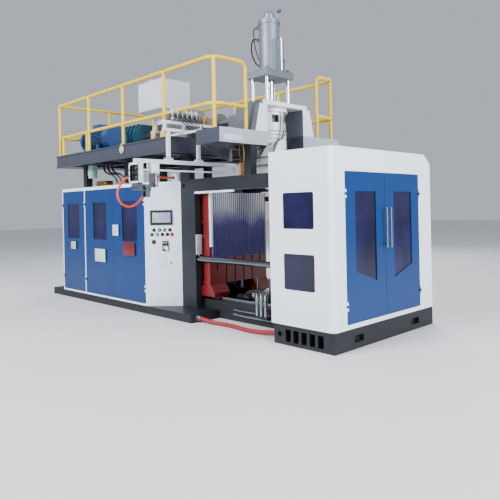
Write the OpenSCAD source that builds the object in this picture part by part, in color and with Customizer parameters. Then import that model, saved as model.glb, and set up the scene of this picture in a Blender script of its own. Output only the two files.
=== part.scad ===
// Accumulator head blow moulding machine, in millimetres.
// X runs along the clamp, Y runs from front to back and Z is up.
// The origin lies on the floor under the axis of the die head.

/* [Floor plan] */
// Depth of the base, the cabinet and the housing
machine_depth = 2140; // [2000:10:2300]
// From the head axis to the front faces
front_dist = 1080; // [1040:10:1160]
// From the head axis to the left end of the skid
skid_left = 5000; // [4800:10:5300]
// From the head axis to the right end of the skid
skid_right = 600; // [540:10:700]
// Height of the skid
skid_h = 120; // [100:5:150]
// Height of the right base
right_base_h = 233; // [200:1:245]

/* [Cabinet] */
// From the head axis to the left end of the cabinet
cabinet_left = 4550; // [4450:10:4700]
// From the head axis to the corner where the front turns to the operator panel
cabinet_right = 1700; // [1650:10:1760]
// Top of the cabinet over the floor
cabinet_top = 2030; // [1980:5:2100]
// Thickness of walls and roof
wall_t = 25; // [16:1:36]
// Width of the bay behind the narrow door
narrow_bay = 890; // [780:10:980]
// Width of the white trim round the doors
trim_w = 30; // [20:1:44]
// Width of a cabinet window
cab_win_w = 450; // [300:10:560]
// Height of a cabinet window
cab_win_h = 640; // [400:10:760]
// Lower edge of the cabinet windows over the floor
cab_win_z = 1110; // [1000:10:1150]

/* [Doors] */
// Thickness of every door leaf
door_t = 30; // [20:1:40]
// Gap round a door leaf
door_gap = 4; // [2:0.5:8]
// Diameter of a hinge pin
hinge_pin_d = 10; // [8:1:12]
// Diameter of a hinge knuckle
knuckle_d = 20; // [18:1:26]
// Height of one of the three knuckles of a hinge
knuckle_h = 32; // [24:1:50]
// Thickness of a window pane
pane_t = 8; // [4:1:12]

/* [Operator panel] */
// How far the slanted panel runs along the machine
panel_run = 420; // [380:5:460]
// How far the slanted panel runs towards the back
panel_depth = 375; // [350:5:380]
// Width of the screen's frame
screen_w = 350; // [260:5:400]
// Height of the screen's frame
screen_h = 230; // [180:5:260]
// Lower edge of the screen's frame over the floor
screen_z = 1366; // [1345:5:1450]
// Height of the upper row of controls over the floor
upper_row_z = 1290; // [1275:5:1310]
// Height of the lower row of controls over the floor
lower_row_z = 1220; // [1200:5:1235]
// Diameter of a push button
button_d = 26; // [20:1:30]
// Travel of a push button
button_travel = 5; // [3:0.5:6]

/* [Housing] */
// From the head axis to the left edge of the housing
housing_left = 970; // [940:10:1000]
// From the head axis to the right face of the housing
housing_right = 1900; // [1800:10:2000]
// Top of the housing over the floor
housing_top = 2256; // [2200:4:2320]
// Radius of the housing's front corner
housing_corner_r = 60; // [30:5:90]
// Width of one of the double doors
housing_door_w = 797; // [700:1:850]
// Lower edge of the double doors over the floor
housing_door_z = 284; // [260:2:320]
// Upper edge of the double doors over the floor
housing_door_top = 1990; // [1900:5:2080]
// Centre of the double doors, measured from the head axis towards the front
housing_door_shift = 48; // [0:4:80]
// Width of the two square windows
square_win_w = 462; // [380:2:500]
// Height of the two square windows
square_win_h = 416; // [360:2:460]

/* [Clamp] */
// Half the distance between the open platens
daylight_half = 746; // [720:2:760]
// Stroke of each platen
stroke = 490; // [400:10:500]
// Thickness of a platen's plate
platen_t = 105; // [80:5:120]
// Width of a platen
platen_w = 1190; // [1000:10:1200]
// Underside of a platen's plate over the floor
platen_z = 480; // [470:5:520]
// Top of a platen over the floor
platen_top = 1835; // [1780:5:1845]
// Diameter of a tie bar
tie_d = 84; // [70:2:90]
// Distance of a tie bar from the middle plane
tie_y = 650; // [648:1:656]
// Height of the lower tie bar
tie_low_z = 855; // [800:5:900]
// Height of the upper tie bar
tie_high_z = 1740; // [1700:5:1745]
// Distance of the rails from the middle plane
rail_y = 445; // [420:5:460]
// Height of the bed under the rails
bed_h = 250; // [248:1:256]
// Diameter of the clamp cylinder's rod
clamp_rod_d = 140; // [100:5:160]
// Module of the rack and pinion
gear_module = 8; // [6:1:8]
// Teeth of the pinion
pinion_teeth = 20; // [18:1:22]

/* [Clamp frame] */
// Depth of the columns and of the upper beams
beam_w = 110; // [100:5:120]
// Underside of the upper beams over the floor
beam_z = 1860; // [1850:5:1880]
// Height of the upper beams
beam_h = 190; // [160:5:210]

/* [Platform] */
// Deck over the floor
deck_z = 2640; // [2620:5:2680]
// Height of the platform's beams
deck_h = 220; // [180:5:240]
// From the head axis to the left end of the platform
deck_left = 4400; // [4390:10:4500]
// From the head axis to the right end of the main deck
deck_right = 820; // [780:10:840]
// From the head axis to the front edge of the platform
deck_front = 1250; // [1230:5:1290]
// From the head axis to the back edge of the platform
deck_back = 1215; // [1185:5:1300]
// From the head axis to the right faces of the portal and of the carriers under it
carrier_right = 290; // [280:5:310]
// Diameter of the handrail tube
rail_tube_d = 50; // [36:2:54]
// Height of the handrail over the deck
handrail_h = 930; // [900:5:1100]
// Height of the knee rail over the deck
knee_rail_h = 330; // [300:5:520]
// Distance between handrail posts along the front
post_pitch = 1115; // [1105:1:1120]

/* [Portal and head] */
// Half the clear width of the portal
portal_half = 370; // [340:5:390]
// Underside of the portal's top plate over the floor
portal_z = 3020; // [3000:5:3060]
// Thickness of the portal's top plate
portal_plate_t = 60; // [40:5:80]
// Length of the four columns over the portal
column_l = 380; // [340:10:420]
// Diameter of the four columns
column_d = 56; // [40:2:64]
// Thickness of the plate under the push cylinder
cyl_plate_t = 100; // [60:5:110]
// Diameter of the push cylinder
push_cyl_d = 306; // [280:2:320]
// Length of the push cylinder
push_cyl_l = 760; // [720:10:800]
// Stroke of the push cylinder
push_stroke = 500; // [300:10:520]
// Diameter of the head body
head_d = 430; // [400:5:450]
// Lower end of the die over the floor
die_z = 1870; // [1865:5:1900]
// Radius of the die's opening
die_r = 60; // [50:1:64]

/* [Extruder] */
// Height of the screw over the deck
screw_h = 320; // [300:5:340]
// Diameter of the screw
screw_d = 90; // [70:2:96]
// Outer diameter of the barrel
barrel_d = 190; // [160:2:200]
// From the head axis to the middle of the hopper
hopper_x = 2665; // [2640:5:2700]
// Width of the hopper, along the barrel
hopper_w = 730; // [600:10:760]
// Depth of the hopper, across the barrel
hopper_d = 610; // [500:10:640]
// Height of the hopper's straight part
hopper_h = 490; // [300:10:600]

/* [Take-out arm] */
// From the head axis to the take-out arm
arm_x = 600; // [590:5:620]
// Underside of the arm's beam over the floor
arm_z = 2220; // [2200:5:2240]
// Travel of the gripper carriage
arm_travel = 850; // [600:10:860]

/* [Hidden] */
$fn = 48;

// Clearances
seat = 0.3;             // between a piece and its seat
fit = 0.05;             // radial, between a shaft and its bore
over = 1;               // how far a cut runs past a face

// Driving lines
front_y = -front_dist;
back_y = front_y + machine_depth;
rear_y = back_y - wall_t;
cab_x0 = -cabinet_left;
cab_x1 = -cabinet_right;
cab_x2 = cab_x1 + panel_run;
panel_y = front_y + panel_depth;
cab_inner_top = cabinet_top - wall_t;
door_z0 = skid_h + trim_w;
door_z1 = cab_inner_top - trim_w;
strip_x = cab_x0 + narrow_bay;
leaf_x0 = strip_x + trim_w / 2;
leaf_x1 = cab_x1 - trim_w * 2 / 3;
leaf_w = (leaf_x1 - leaf_x0) / 2;
narrow_x0 = cab_x0 + trim_w;
narrow_w = strip_x - trim_w / 2 - narrow_x0;
hinge_off = knuckle_d / 2 + 0.5;
panel_angle = atan2(panel_depth, panel_run);
panel_len = sqrt(panel_run * panel_run + panel_depth * panel_depth);
door_mid_y = -housing_door_shift;
near_edge_y = door_mid_y - housing_door_w;
far_edge_y = door_mid_y + housing_door_w;

// Clamp
face_x = daylight_half;
back_x = face_x + platen_t;
rib_h = 60;
foot_w = 300;
foot_z = 300;
foot_y0 = platen_w / 2 - foot_w;
clamp_axis_z = (tie_low_z + tie_high_z) / 2;
mould_z = (platen_z + platen_top) / 2;
mould_hole_z = 400;
mould_hole_r = 11;
tie_r = tie_d / 2;
ear_y = tie_y + 90;
ear_h = 190;
end_x = 2600;
end_t = 100;
barrel_l = 1350;
rail_w = 45;
rail_h = 40;
bed_left = 3350;
bed_right = housing_left + 40;
bed_w = 220;
pinion_x = -1500;
pinion_r = gear_module * pinion_teeth / 2;
tooth_pitch = PI * gear_module;
rack_z = 345;
rack_h = 50;
pinion_pin_r = 25;
column_x0 = 1280;
column_x1 = 940;
column_y = tie_y - beam_w / 2;
beam_right = 1200;
beam_top = beam_z + beam_h;
post_half = 60;
post_y = 850;
far_post_x = 3950;
mid_post_x = 2500;

// Platform
beam_bottom = deck_z - deck_h;
carrier_left = 190;
carrier_z = deck_z - 190;
rail_line = deck_front - 35;
rear_line = deck_back - 35;
post_x0 = 170;
post_count = 5;
end_rail_x = post_x0 - (post_count - 1) * post_pitch;
tube_r = rail_tube_d / 2;
top_rail_z = deck_z + handrail_h;
knee_rail_z = deck_z + knee_rail_h;
elbow_r = 110;
corner_r = 150;
corner_in = corner_r * (1 - cos(45));

// Portal, head and extruder
portal_leg = 240;
portal_top = portal_z + portal_plate_t;
cyl_plate_z = portal_top + column_l;
cyl_z = cyl_plate_z + cyl_plate_t;
cyl_top = cyl_z + push_cyl_l;
push_rod_r = 58;
mandrel_r = 25;
mandrel_travel = 25;
screw_z = deck_z + screw_h;
screw_r = screw_d / 2;
barrel_r = barrel_d / 2;
barrel_x0 = hopper_x + 300;
barrel_x1 = 1560;
adapter_x = 1150;
inlet_z = 2720;
gearbox_x0 = 3950;
gearbox_x1 = 3140;
motor_y = -780;
motor_z = 2890;
motor_r = 175;

// Routes of the two hoses, points chosen by hand
arm_hose_r = 16;
arm_hose_pts = [[-740, -1910, 2040], [-800, -1910, 2040], [-885, -1920, 2020], [-945, -1940, 1960], [-970, -1970, 1880], [-970, -1980, 1815],
    [-970, -1965, 1755], [-970, -1925, 1700], [-970, -1870, 1665], [-970, -1810, 1650], [-975, -1730, 1665], [-995, -1650, 1705],
    [-1025, -1575, 1760], [-1065, -1495, 1825], [-1110, -1415, 1895], [-1155, -1340, 1965], [-1205, -1260, 2025], [-1250, -1180, 2070],
    [-1295, -1105, 2090], [-1335, -1025, 2090], [-1365, -945, 2090], [-1385, -870, 2090], [-1390, -790, 2090], [-1390, -740, 2090]];
floor_hose_r = 28;
floor_hose_pts = [[-600, -960, 66], [-560, -960, 66], [-500, -956, 62], [-420, -946, 50],
    [-330, -930, 36], [-240, -912, 29], [-140, -898, 29], [-40, -892, 29], [60, -896, 29],
    [160, -908, 29], [260, -922, 29], [360, -930, 29], [460, -926, 29], [560, -914, 30],
    [660, -902, 36], [760, -894, 50], [850, -890, 63], [930, -890, 70], [1010, -890, 70]];

function dir(a) = a / norm(a);
function tangent(p, i) = dir(p[min(i + 1, len(p) - 1)] - p[max(i - 1, 0)]);
function inv(a) = tan(a) * 180 / PI - a;

// Tube swept along a list of points
module swept_tube(pts, r, ref, sides = 8) {
    rings = [for (i = [0 : len(pts) - 1])
        let (t = tangent(pts, i), u = dir(cross(ref, t)), v = cross(t, u))
        for (k = [0 : sides - 1])
            pts[i] + r * (cos(k * 360 / sides) * u + sin(k * 360 / sides) * v)];
    last = (len(pts) - 1) * sides;
    faces = concat([[for (k = [0 : sides - 1]) k]],
        [for (i = [0 : len(pts) - 2]) for (k = [0 : sides - 1])
            let (a = i * sides + k, b = i * sides + (k + 1) % sides)
            [b, a, a + sides, b + sides]],
        [[for (k = [sides - 1 : -1 : 0]) last + k]]);
    polyhedron(rings, faces);
}

// Rectangle with round corners, centred
module rounded_rect(w, h, r) {
    square([w - 2 * r, h], center = true);
    square([w, h - 2 * r], center = true);
    for (sx = [-1, 1]) for (sy = [-1, 1])
        translate([sx * (w / 2 - r), sy * (h / 2 - r)]) circle(r);
}

// Box given by its two corners
module box(a, b) {
    translate(a) cube(b - a);
}

// Cylinder along X from x0 to x1
module rod_x(x0, x1, y, z, r) {
    translate([x0, y, z]) rotate([0, 90, 0]) cylinder(h = x1 - x0, r = r);
}

// Cylinder along Y from y0 to y1
module rod_y(x, y0, y1, z, r) {
    translate([x, y0, z]) rotate([-90, 0, 0]) cylinder(h = y1 - y0, r = r);
}

module mirrored_y() {
    children();
    mirror([0, 1, 0]) children();
}

// Frame side of a hinge: two knuckles, the pin and a leaf; the frame lies at x < 0
module hinge_frame(z) {
    translate([0, -hinge_off, z]) {
        for (s = [0, 2])
            translate([0, 0, s * knuckle_h]) cylinder(h = knuckle_h, d = knuckle_d);
        cylinder(h = 3 * knuckle_h, d = hinge_pin_d);
    }
    for (s = [0, 2])
        box([-trim_w + 4, -3, z + s * knuckle_h], [0, 0, z + (s + 1) * knuckle_h]);
    for (s = [0, 2])
        box([-knuckle_d / 2, -hinge_off, z + s * knuckle_h], [0, 0, z + (s + 1) * knuckle_h]);
}

// Door side of a hinge: the middle knuckle and its leaf
module hinge_door(z) {
    z0 = z + knuckle_h + seat;
    h = knuckle_h - 2 * seat;
    difference() {
        union() {
            translate([0, -hinge_off, z0]) cylinder(h = h, d = knuckle_d);
            box([0, -hinge_off + hinge_pin_d / 2 + 1, z0], [knuckle_d / 2 + 6, 0, z0 + h]);
            box([door_gap, -3, z0], [trim_w, 0, z0 + h]);
        }
        translate([0, -hinge_off, z0 - over]) cylinder(h = h + 2 * over, d = hinge_pin_d + 2 * fit);
    }
}

// Door leaf: front face at y = 0, hinge line at x = 0; the window is cut by the children
module door_leaf(w, z0, z1, hinge_zs) {
    difference() {
        box([door_gap, 0, z0 + door_gap], [w - door_gap / 2, door_t, z1 - door_gap]);
        translate([0, door_t + over, 0]) rotate([90, 0, 0])
            linear_extrude(door_t + 2 * over) children();
    }
    for (z = hinge_zs) hinge_door(z);
}

cab_hinges = [skid_h + 220, cab_inner_top - 330];
housing_hinges = [housing_door_z + 160, housing_door_top - 300];
win_mid_z = cab_win_z + cab_win_h / 2;
win_r = 20;

module cab_window(x, clear) {
    translate([x, win_mid_z]) rounded_rect(cab_win_w - 2 * clear, cab_win_h - 2 * clear, win_r);
}

// Outline of the slanted window of a double door, in the plane of the leaf
slant_in = 193;
slant_out = 608;
slant_top = 1765;
slant_low = 720;
slant_high = 860;
module slant_window(clear) {
    a = housing_door_w - slant_out + clear;
    b = housing_door_w - slant_in - clear;
    polygon([[a, slant_top - clear], [b, slant_top - clear], [b, slant_low + clear], [a, slant_high + clear]]);
}

module pane() {
    translate([0, door_t / 2 + pane_t / 2, 0]) rotate([90, 0, 0]) linear_extrude(pane_t) children();
}

module base_left() {
    color("#3a3d46") {
        // channel beams at the front and the back, deck plate and ties
        for (s = [0, 1]) translate([-skid_left, s == 0 ? front_y : back_y, 0]) mirror([0, s, 0])
            rotate([90, 0, 90]) linear_extrude(skid_left - skid_right)
                polygon([[0, 0], [100, 0], [100, 14], [14, 14], [14, skid_h - 14], [100, skid_h - 14],
                    [100, skid_h], [0, skid_h]]);
        box([-skid_left, front_y, skid_h - 10], [-skid_right, back_y, skid_h]);
        for (x = [0 : 6]) {
            x0 = -skid_left + x * (skid_left - skid_right - 120) / 6;
            box([x0, front_y + 14, 0], [x0 + 120, back_y - 14, skid_h]);
        }
    }
}

module base_right() {
    color("#3f424c") difference() {
        box([bed_right, front_y, 0], [housing_right, back_y, right_base_h]);
        // pockets of the ribbed front
        for (i = [0 : 4]) box([bed_right + 180 + i * 120, front_y - over, 40],
            [bed_right + 260 + i * 120, front_y + 90, right_base_h - 50]);
        rod_y(bed_right + 90, front_y - over, front_y + 60, right_base_h / 2, 32);
        // ports in the right face for lifting bars
        for (y = [front_y + 360, back_y - 540])
            box([housing_right - 60, y, 70], [housing_right + over, y + 180, 150]);
    }
}

module clamp_bed() {
    ties = [-3330, -2750, -2150, -1560, -960, -520, -110, 440, 890];
    color("#41454e") {
        mirrored_y() {
            box([-bed_left, rail_y - bed_w / 2, skid_h], [bed_right, rail_y + bed_w / 2, bed_h]);
            box([-skid_right, rail_y - bed_w / 2, 0], [bed_right, rail_y + bed_w / 2, skid_h]);
        }
        for (x = ties) {
            z0 = x < -skid_right ? skid_h : 0;
            box([x, -rail_y, z0], [x + (x == -110 ? 220 : 120), rail_y, bed_h - 20]);
        }
    }
    // post of the pinion
    color("#9aa0a6") translate([pinion_x, 0, bed_h - 20]) {
        cylinder(h = rack_z - bed_h + 20 - seat, r = 45);
        cylinder(h = rack_z - bed_h + 20 + rack_h + 16, r = pinion_pin_r);
    }
}

module linear_rails() {
    color("#b9bdc2") mirrored_y()
        difference() {
            box([-bed_left + 30, rail_y - rail_w / 2, bed_h], [bed_right - 5, rail_y + rail_w / 2, bed_h + rail_h]);
            for (s = [-1, 1]) translate([-bed_left, rail_y + s * rail_w / 2, bed_h + rail_h / 2])
                rotate([45, 0, 0]) box([0, -5, -5], [bed_left + bed_right, 5, 5]);
        }
}

module frame_columns() {
    color("#47515a") difference() {
        mirrored_y() {
            box([-column_x0, column_y, skid_h], [-column_x1, column_y + beam_w, beam_z]);
            box([-column_x0, column_y - 25, skid_h], [-column_x1 + 20, column_y + beam_w, skid_h + 20]);
        }
        rod_x(-column_x0 - over, -column_x1 + over, -tie_y, tie_low_z, tie_r + 8);
        rod_x(-column_x0 - over, -column_x1 + over, tie_y, tie_high_z, tie_r + 8);
    }
    color("#47515a") mirrored_y() {
        box([housing_left + 90, column_y, right_base_h], [beam_right, column_y + beam_w, beam_z]);
        box([-column_x0, column_y, beam_top], [-column_x1 - 120, column_y + beam_w, beam_bottom]);
        box([80, column_y, beam_top], [carrier_right - 10, column_y + beam_w, carrier_z]);
        for (x = [-far_post_x, -mid_post_x])
            box([x - post_half, post_y - post_half, skid_h], [x + post_half, post_y + post_half, beam_bottom]);
    }
}

module frame_beams() {
    color("#47515a") mirrored_y() difference() {
        box([-column_x0, column_y, beam_z], [beam_right, column_y + beam_w, beam_top]);
        box([-column_x0 + 60, column_y - over, beam_z + 75], [-column_x0 + 110, column_y + beam_w + over, beam_z + 125]);
    }
    // white rail of the front gate under the front beam
    color("#f2f5f8") box([-column_x1 + seat, -column_y - beam_w, beam_z - 30], [-80, -column_y - beam_w + 34, beam_z]);
}

module cabinet_shell() {
    color("#eef2f5") difference() {
        union() {
            // roof
            translate([0, 0, cab_inner_top]) linear_extrude(wall_t)
                polygon([[cab_x0, front_y], [cab_x1, front_y], [cab_x2, panel_y], [cab_x2, back_y], [cab_x0, back_y]]);
            // rear and left walls
            box([cab_x0, rear_y, skid_h], [cab_x2, back_y, cab_inner_top]);
            box([cab_x0, front_y, skid_h], [cab_x0 + wall_t, back_y, cab_inner_top]);
            // trim round the doors
            box([cab_x0, front_y, skid_h], [narrow_x0, front_y + door_t + 20, cab_inner_top]);
            box([strip_x - trim_w / 2, front_y, skid_h], [strip_x + trim_w / 2, front_y + door_t + 20, cab_inner_top]);
            box([leaf_x1, front_y, skid_h], [cab_x1, front_y + door_t + 20, cab_inner_top]);
            box([cab_x0, front_y, skid_h], [cab_x1, front_y + door_t + 20, door_z0]);
            box([cab_x0, front_y, door_z1], [cab_x1, front_y + door_t + 20, cab_inner_top]);
        }
        // the platform's posts pass through the roof
        mirrored_y() for (x = [-far_post_x, -mid_post_x])
            box([x - post_half - 5, post_y - post_half - 5, cab_inner_top - over],
                [x + post_half + 5, post_y + post_half + 5, cabinet_top + over]);
        // louvres in the left wall
        for (i = [0 : 7]) box([cab_x0 - over, 200, 1450 + i * 45], [cab_x0 + wall_t + over, 700, 1465 + i * 45]);
        // flat seams between the panels of the rear wall
        for (i = [1 : 3]) box([cab_x0 + i * 820, back_y - 3, skid_h + 30], [cab_x0 + i * 820 + 8, back_y + over, cab_inner_top - 30]);
    }
    color("#eef2f5") {
        // junction box of the take-out arm on the roof
        box([-1450, -740, cabinet_top], [-1330, -640, cabinet_top + 125]);
        for (z = cab_hinges) {
            translate([narrow_x0, front_y, 0]) hinge_frame(z);
            translate([leaf_x0, front_y, 0]) hinge_frame(z);
            translate([leaf_x1, front_y, 0]) mirror([1, 0, 0]) hinge_frame(z);
        }
    }
}

module place_cab_door(i) {
    if (i == 0) translate([narrow_x0, front_y, 0]) children();
    if (i == 1) translate([leaf_x0, front_y, 0]) children();
    if (i == 2) translate([leaf_x1, front_y, 0]) mirror([1, 0, 0]) children();
}

function cab_door_w(i) = i == 0 ? narrow_w + door_gap / 2 - door_gap : leaf_w;
function cab_window_x(i) = i == 0 ? narrow_w / 2 : (i == 1 ? leaf_w / 2 + 40 : leaf_w / 2 - 40);

module cabinet_door(i) {
    color("#3269a5") place_cab_door(i)
        door_leaf(cab_door_w(i), door_z0, door_z1, cab_hinges) cab_window(cab_window_x(i), 0);
}

module cabinet_window(i) {
    color("#46456b", 0.6) place_cab_door(i) pane() cab_window(cab_window_x(i), seat);
}

module hydraulic_unit() {
    tank_x = -4380;
    color("#5b6770") {
        // oil tank with its lid
        box([tank_x, -560, skid_h], [tank_x + 880, 560, 760]);
        box([tank_x - 15, -575, 760], [tank_x + 895, 575, 775]);
        // pump motor on its bell housing
        rod_x(tank_x + 120, tank_x + 560, -180, 950, 130);
        rod_x(tank_x + 560, tank_x + 640, -180, 950, 90);
        rod_x(tank_x + 640, tank_x + 780, -180, 950, 70);
        for (x = [tank_x + 180, tank_x + 420]) box([x, -290, 775], [x + 60, -70, 860]);
        // valve block
        box([tank_x + 180, 150, 775], [tank_x + 620, 400, 960]);
        for (i = [0 : 3]) box([tank_x + 205 + i * 105, 190, 960], [tank_x + 275 + i * 105, 360, 1050]);
    }
    // valves and pipes outside the left wall, on a block of their own
    color("#b8b49a") {
        box([cab_x0 - 400, -900, skid_h], [cab_x0 - 60, -500, 300]);
        for (i = [0 : 3]) {
            translate([cab_x0 - 345 + i * 75, -800, 300]) cylinder(h = 430, r = 17);
            translate([cab_x0 - 345 + i * 75, -800, 700]) cylinder(h = 60, r = 26);
            translate([cab_x0 - 345 + i * 75, -620, 300]) cylinder(h = 320, r = 20);
        }
        box([cab_x0 - 385, -840, 760], [cab_x0 - 90, -760, 860]);
    }
}

// Puts its children on the slanted panel: x along it, y inwards, z up
module on_panel() {
    translate([cab_x1, front_y, 0]) rotate([0, 0, panel_angle]) children();
}

selector_s = 385;
lamp_s = [135, 220, 300];
button_s = [100, 185];
stop_s = 415;
dummy_s = [265, 345];
stem_r = 8;
stem_l = 40;

module panel_casing() {
    color("#e6ecef") difference() {
        translate([0, 0, skid_h]) linear_extrude(cab_inner_top - skid_h)
            polygon([[cab_x1, front_y], [cab_x2, panel_y], [cab_x2, panel_y + 5], [cab_x1, panel_y + 5]]);
        on_panel() {
            // seat of the screen and holes of the switches
            translate([80, -over, screen_z]) cube([screen_w, 24 + over, screen_h]);
            for (s = button_s) translate([s, stem_l + 12, lower_row_z]) rotate([90, 0, 0])
                cylinder(h = stem_l + 12 + over, r = stem_r + seat);
            translate([stop_s, stem_l + 12, lower_row_z]) rotate([90, 0, 0])
                cylinder(h = stem_l + 12 + over, r = stem_r + seat);
            translate([selector_s, stem_l + 12, upper_row_z]) rotate([90, 0, 0])
                cylinder(h = stem_l + 12 + over, r = stem_r + seat);
            // drawer slot and the seam over it
            translate([165, -over, 700]) cube([190, 8 + over, 22]);
            translate([150, -over, 925]) cube([250, 3 + over, 4]);
        }
    }
}

module panel_fittings() {
    on_panel() {
        // screen with its bezel
        color("#20242a") translate([80 + seat, -14, screen_z + seat]) difference() {
            cube([screen_w - 2 * seat, 36, screen_h - 2 * seat]);
            translate([22, -over, 26]) cube([screen_w - 44, 5, screen_h - 48]);
        }
        // pilot lamps
        color("#d8dcd0") for (s = lamp_s) translate([s, 0, upper_row_z]) rotate([90, 0, 0]) {
            cylinder(h = 5, r = 14);
            cylinder(h = 16, r = 10);
        }
        color("#8a8f94") for (s = dummy_s) translate([s, 0, lower_row_z]) rotate([90, 0, 0]) {
            cylinder(h = 5, r = 14);
            cylinder(h = 12, r = 11);
        }
        // collars of the switches
        color("#5c6066") for (s = [each button_s, stop_s]) translate([s, 0, lower_row_z]) rotate([90, 0, 0])
            difference() {
                cylinder(h = 5, r = 16);
                translate([0, 0, -over]) cylinder(h = 5 + 2 * over, r = stem_r + seat);
            }
        color("#5c6066") translate([selector_s, 0, upper_row_z]) rotate([90, 0, 0]) difference() {
            cylinder(h = 5, r = 16);
            translate([0, 0, -over]) cylinder(h = 5 + 2 * over, r = stem_r + seat);
        }
        // counter and key plate
        color("#2c3036") translate([265, -22, 970]) difference() {
            cube([95, 22, 150]);
            translate([12, -over, 20]) cube([71, 6, 60]);
        }
        color("#4a4e54") translate([100, -8, 1077]) cube([60, 8, 60]);
    }
}

module selector_switch() {
    color("#2c3036") on_panel() translate([selector_s, 0, upper_row_z]) rotate([90, 0, 0]) {
        translate([0, 0, -stem_l]) cylinder(h = stem_l + 6, r = stem_r);
        translate([0, 0, 5 + seat]) cylinder(h = 10, r = 13);
        translate([-4, -13, 5 + seat]) cube([8, 26, 22]);
    }
}

module push_button(s, tint) {
    color(tint) on_panel() translate([s, 0, lower_row_z]) rotate([90, 0, 0]) {
        translate([0, 0, -stem_l]) cylinder(h = stem_l + 12, r = stem_r);
        translate([0, 0, 5 + button_travel + seat]) cylinder(h = 8, d = button_d);
    }
}

module push_button_1() { push_button(button_s[0], "#3c8f4a"); }
module push_button_2() { push_button(button_s[1], "#c9ccd0"); }

module emergency_stop() {
    color("#c62f2f") on_panel() translate([stop_s, 0, lower_row_z]) rotate([90, 0, 0]) {
        translate([0, 0, -stem_l]) cylinder(h = stem_l + 20, r = stem_r);
        translate([0, 0, 5 + button_travel + seat]) rotate_extrude()
            polygon([[0, 0], [14, 0], [20, 8], [20, 14], [15, 19], [0, 20]]);
    }
}

// Side outline of the housing in depth and height, drawn inwards by d
module housing_side(d) {
    polygon([[front_y + d, right_base_h - (d > 0 ? over : 0)], [back_y - d, right_base_h - (d > 0 ? over : 0)],
        [back_y - d, housing_top - 120 - d / 2], [back_y - 155 - d / 2, housing_top - d], [front_y + d, housing_top - d]]);
}

module housing_window_cut(clear) {
    for (z = [648, 1350]) translate([(housing_left + housing_right) / 2 - 20, z + square_win_h / 2])
        rounded_rect(square_win_w - 2 * clear, square_win_h - 2 * clear, 25);
}

module housing_shell() {
    r = housing_corner_r;
    color("#eef2f5") difference() {
        intersection() {
            translate([housing_left, 0, 0]) rotate([90, 0, 90]) linear_extrude(housing_right - housing_left) housing_side(0);
            translate([0, 0, right_base_h - over]) linear_extrude(housing_top) {
                translate([housing_left, front_y]) square([housing_right - housing_left - r, machine_depth]);
                translate([housing_left, front_y + r]) square([housing_right - housing_left, machine_depth - r]);
                translate([housing_right - r, front_y + r]) circle(r);
            }
        }
        intersection() {
            translate([housing_left - over, 0, 0]) rotate([90, 0, 90])
                linear_extrude(housing_right - housing_left + over - wall_t) housing_side(wall_t);
            translate([0, 0, right_base_h - 2 * over]) linear_extrude(housing_top) {
                translate([housing_left - over, front_y]) square([housing_right - housing_left + over - r, machine_depth]);
                translate([housing_left - over, front_y + r])
                    square([housing_right - housing_left + over, machine_depth - r]);
                translate([housing_right - r, front_y + r]) circle(r - wall_t);
            }
        }
        // opening of the double doors
        box([housing_right - wall_t - over, near_edge_y, housing_door_z], [housing_right + over, far_edge_y, housing_door_top]);
        // square windows in the front
        translate([0, front_y + wall_t + over, 0]) rotate([90, 0, 0]) linear_extrude(wall_t + 2 * over) housing_window_cut(0);
    }
    color("#eef2f5") {
        // folded edges at the open left side
        box([housing_left, front_y + wall_t, right_base_h], [housing_left + 20, front_y + 90, housing_top - wall_t]);
        // jambs of the double doors
        for (z = housing_hinges) {
            translate([housing_right, near_edge_y, 0]) rotate([0, 0, 90]) hinge_frame(z);
            translate([housing_right, far_edge_y, 0]) rotate([0, 0, 90]) mirror([1, 0, 0]) hinge_frame(z);
        }
    }
}

module housing_windows() {
    color("#46456b", 0.6) translate([0, front_y + wall_t / 2 + pane_t / 2, 0]) rotate([90, 0, 0])
        linear_extrude(pane_t) housing_window_cut(seat);
}

module place_housing_door(far) {
    if (far) translate([housing_right, far_edge_y, 0]) rotate([0, 0, 90]) mirror([1, 0, 0]) children();
    else translate([housing_right, near_edge_y, 0]) rotate([0, 0, 90]) children();
}

module housing_door(far) {
    handle_z = [1096, 1576];
    color("#3269a5") place_housing_door(far)
        door_leaf(housing_door_w, housing_door_z, housing_door_top, housing_hinges) slant_window(0);
    color("#c8ccd1") place_housing_door(far) {
        translate([housing_door_w - 45, -55, handle_z[0]]) cylinder(h = handle_z[1] - handle_z[0], r = 11);
        for (z = [handle_z[0] + 40, handle_z[1] - 40])
            rod_y(housing_door_w - 45, -55, 0, z, 8);
    }
}

module housing_pane(far) {
    color("#46456b", 0.6) place_housing_door(far) pane() slant_window(seat);
}

// Outline of a platen in Y and Z: plate, feet, and ears for the tie bars if it has them
module platen_outline(ears) {
    translate([-platen_w / 2, platen_z]) square([platen_w, platen_top - platen_z]);
    if (ears) {
        translate([-ear_y, tie_low_z - ear_h / 2]) square([ear_y, ear_h]);
        translate([0, tie_high_z - ear_h / 2]) square([ear_y, ear_h]);
    }
}

// Foot with its runner blocks; x0 to x1 is its length, px0 to px1 the plate that it carries
module platen_foot(x0, x1, px0, px1) {
    mirrored_y() {
        translate([0, platen_w / 2, 0]) rotate([90, 0, 0]) linear_extrude(foot_w)
            polygon([[x0, foot_z], [x1, foot_z], [x1, foot_z + 60], [px1, platen_z], [px1, platen_z + 200],
                [px0, platen_z + 200], [px0, platen_z], [x0, foot_z + 60]]);
        for (x = [x0 + 10, x1 - 160]) difference() {
            box([x, rail_y - 60, bed_h + 6], [x + 150, rail_y + 60, foot_z]);
            box([x - over, rail_y - rail_w / 2 - seat, bed_h], [x + 150 + over, rail_y + rail_w / 2 + seat, bed_h + rail_h + seat]);
        }
    }
}

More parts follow.
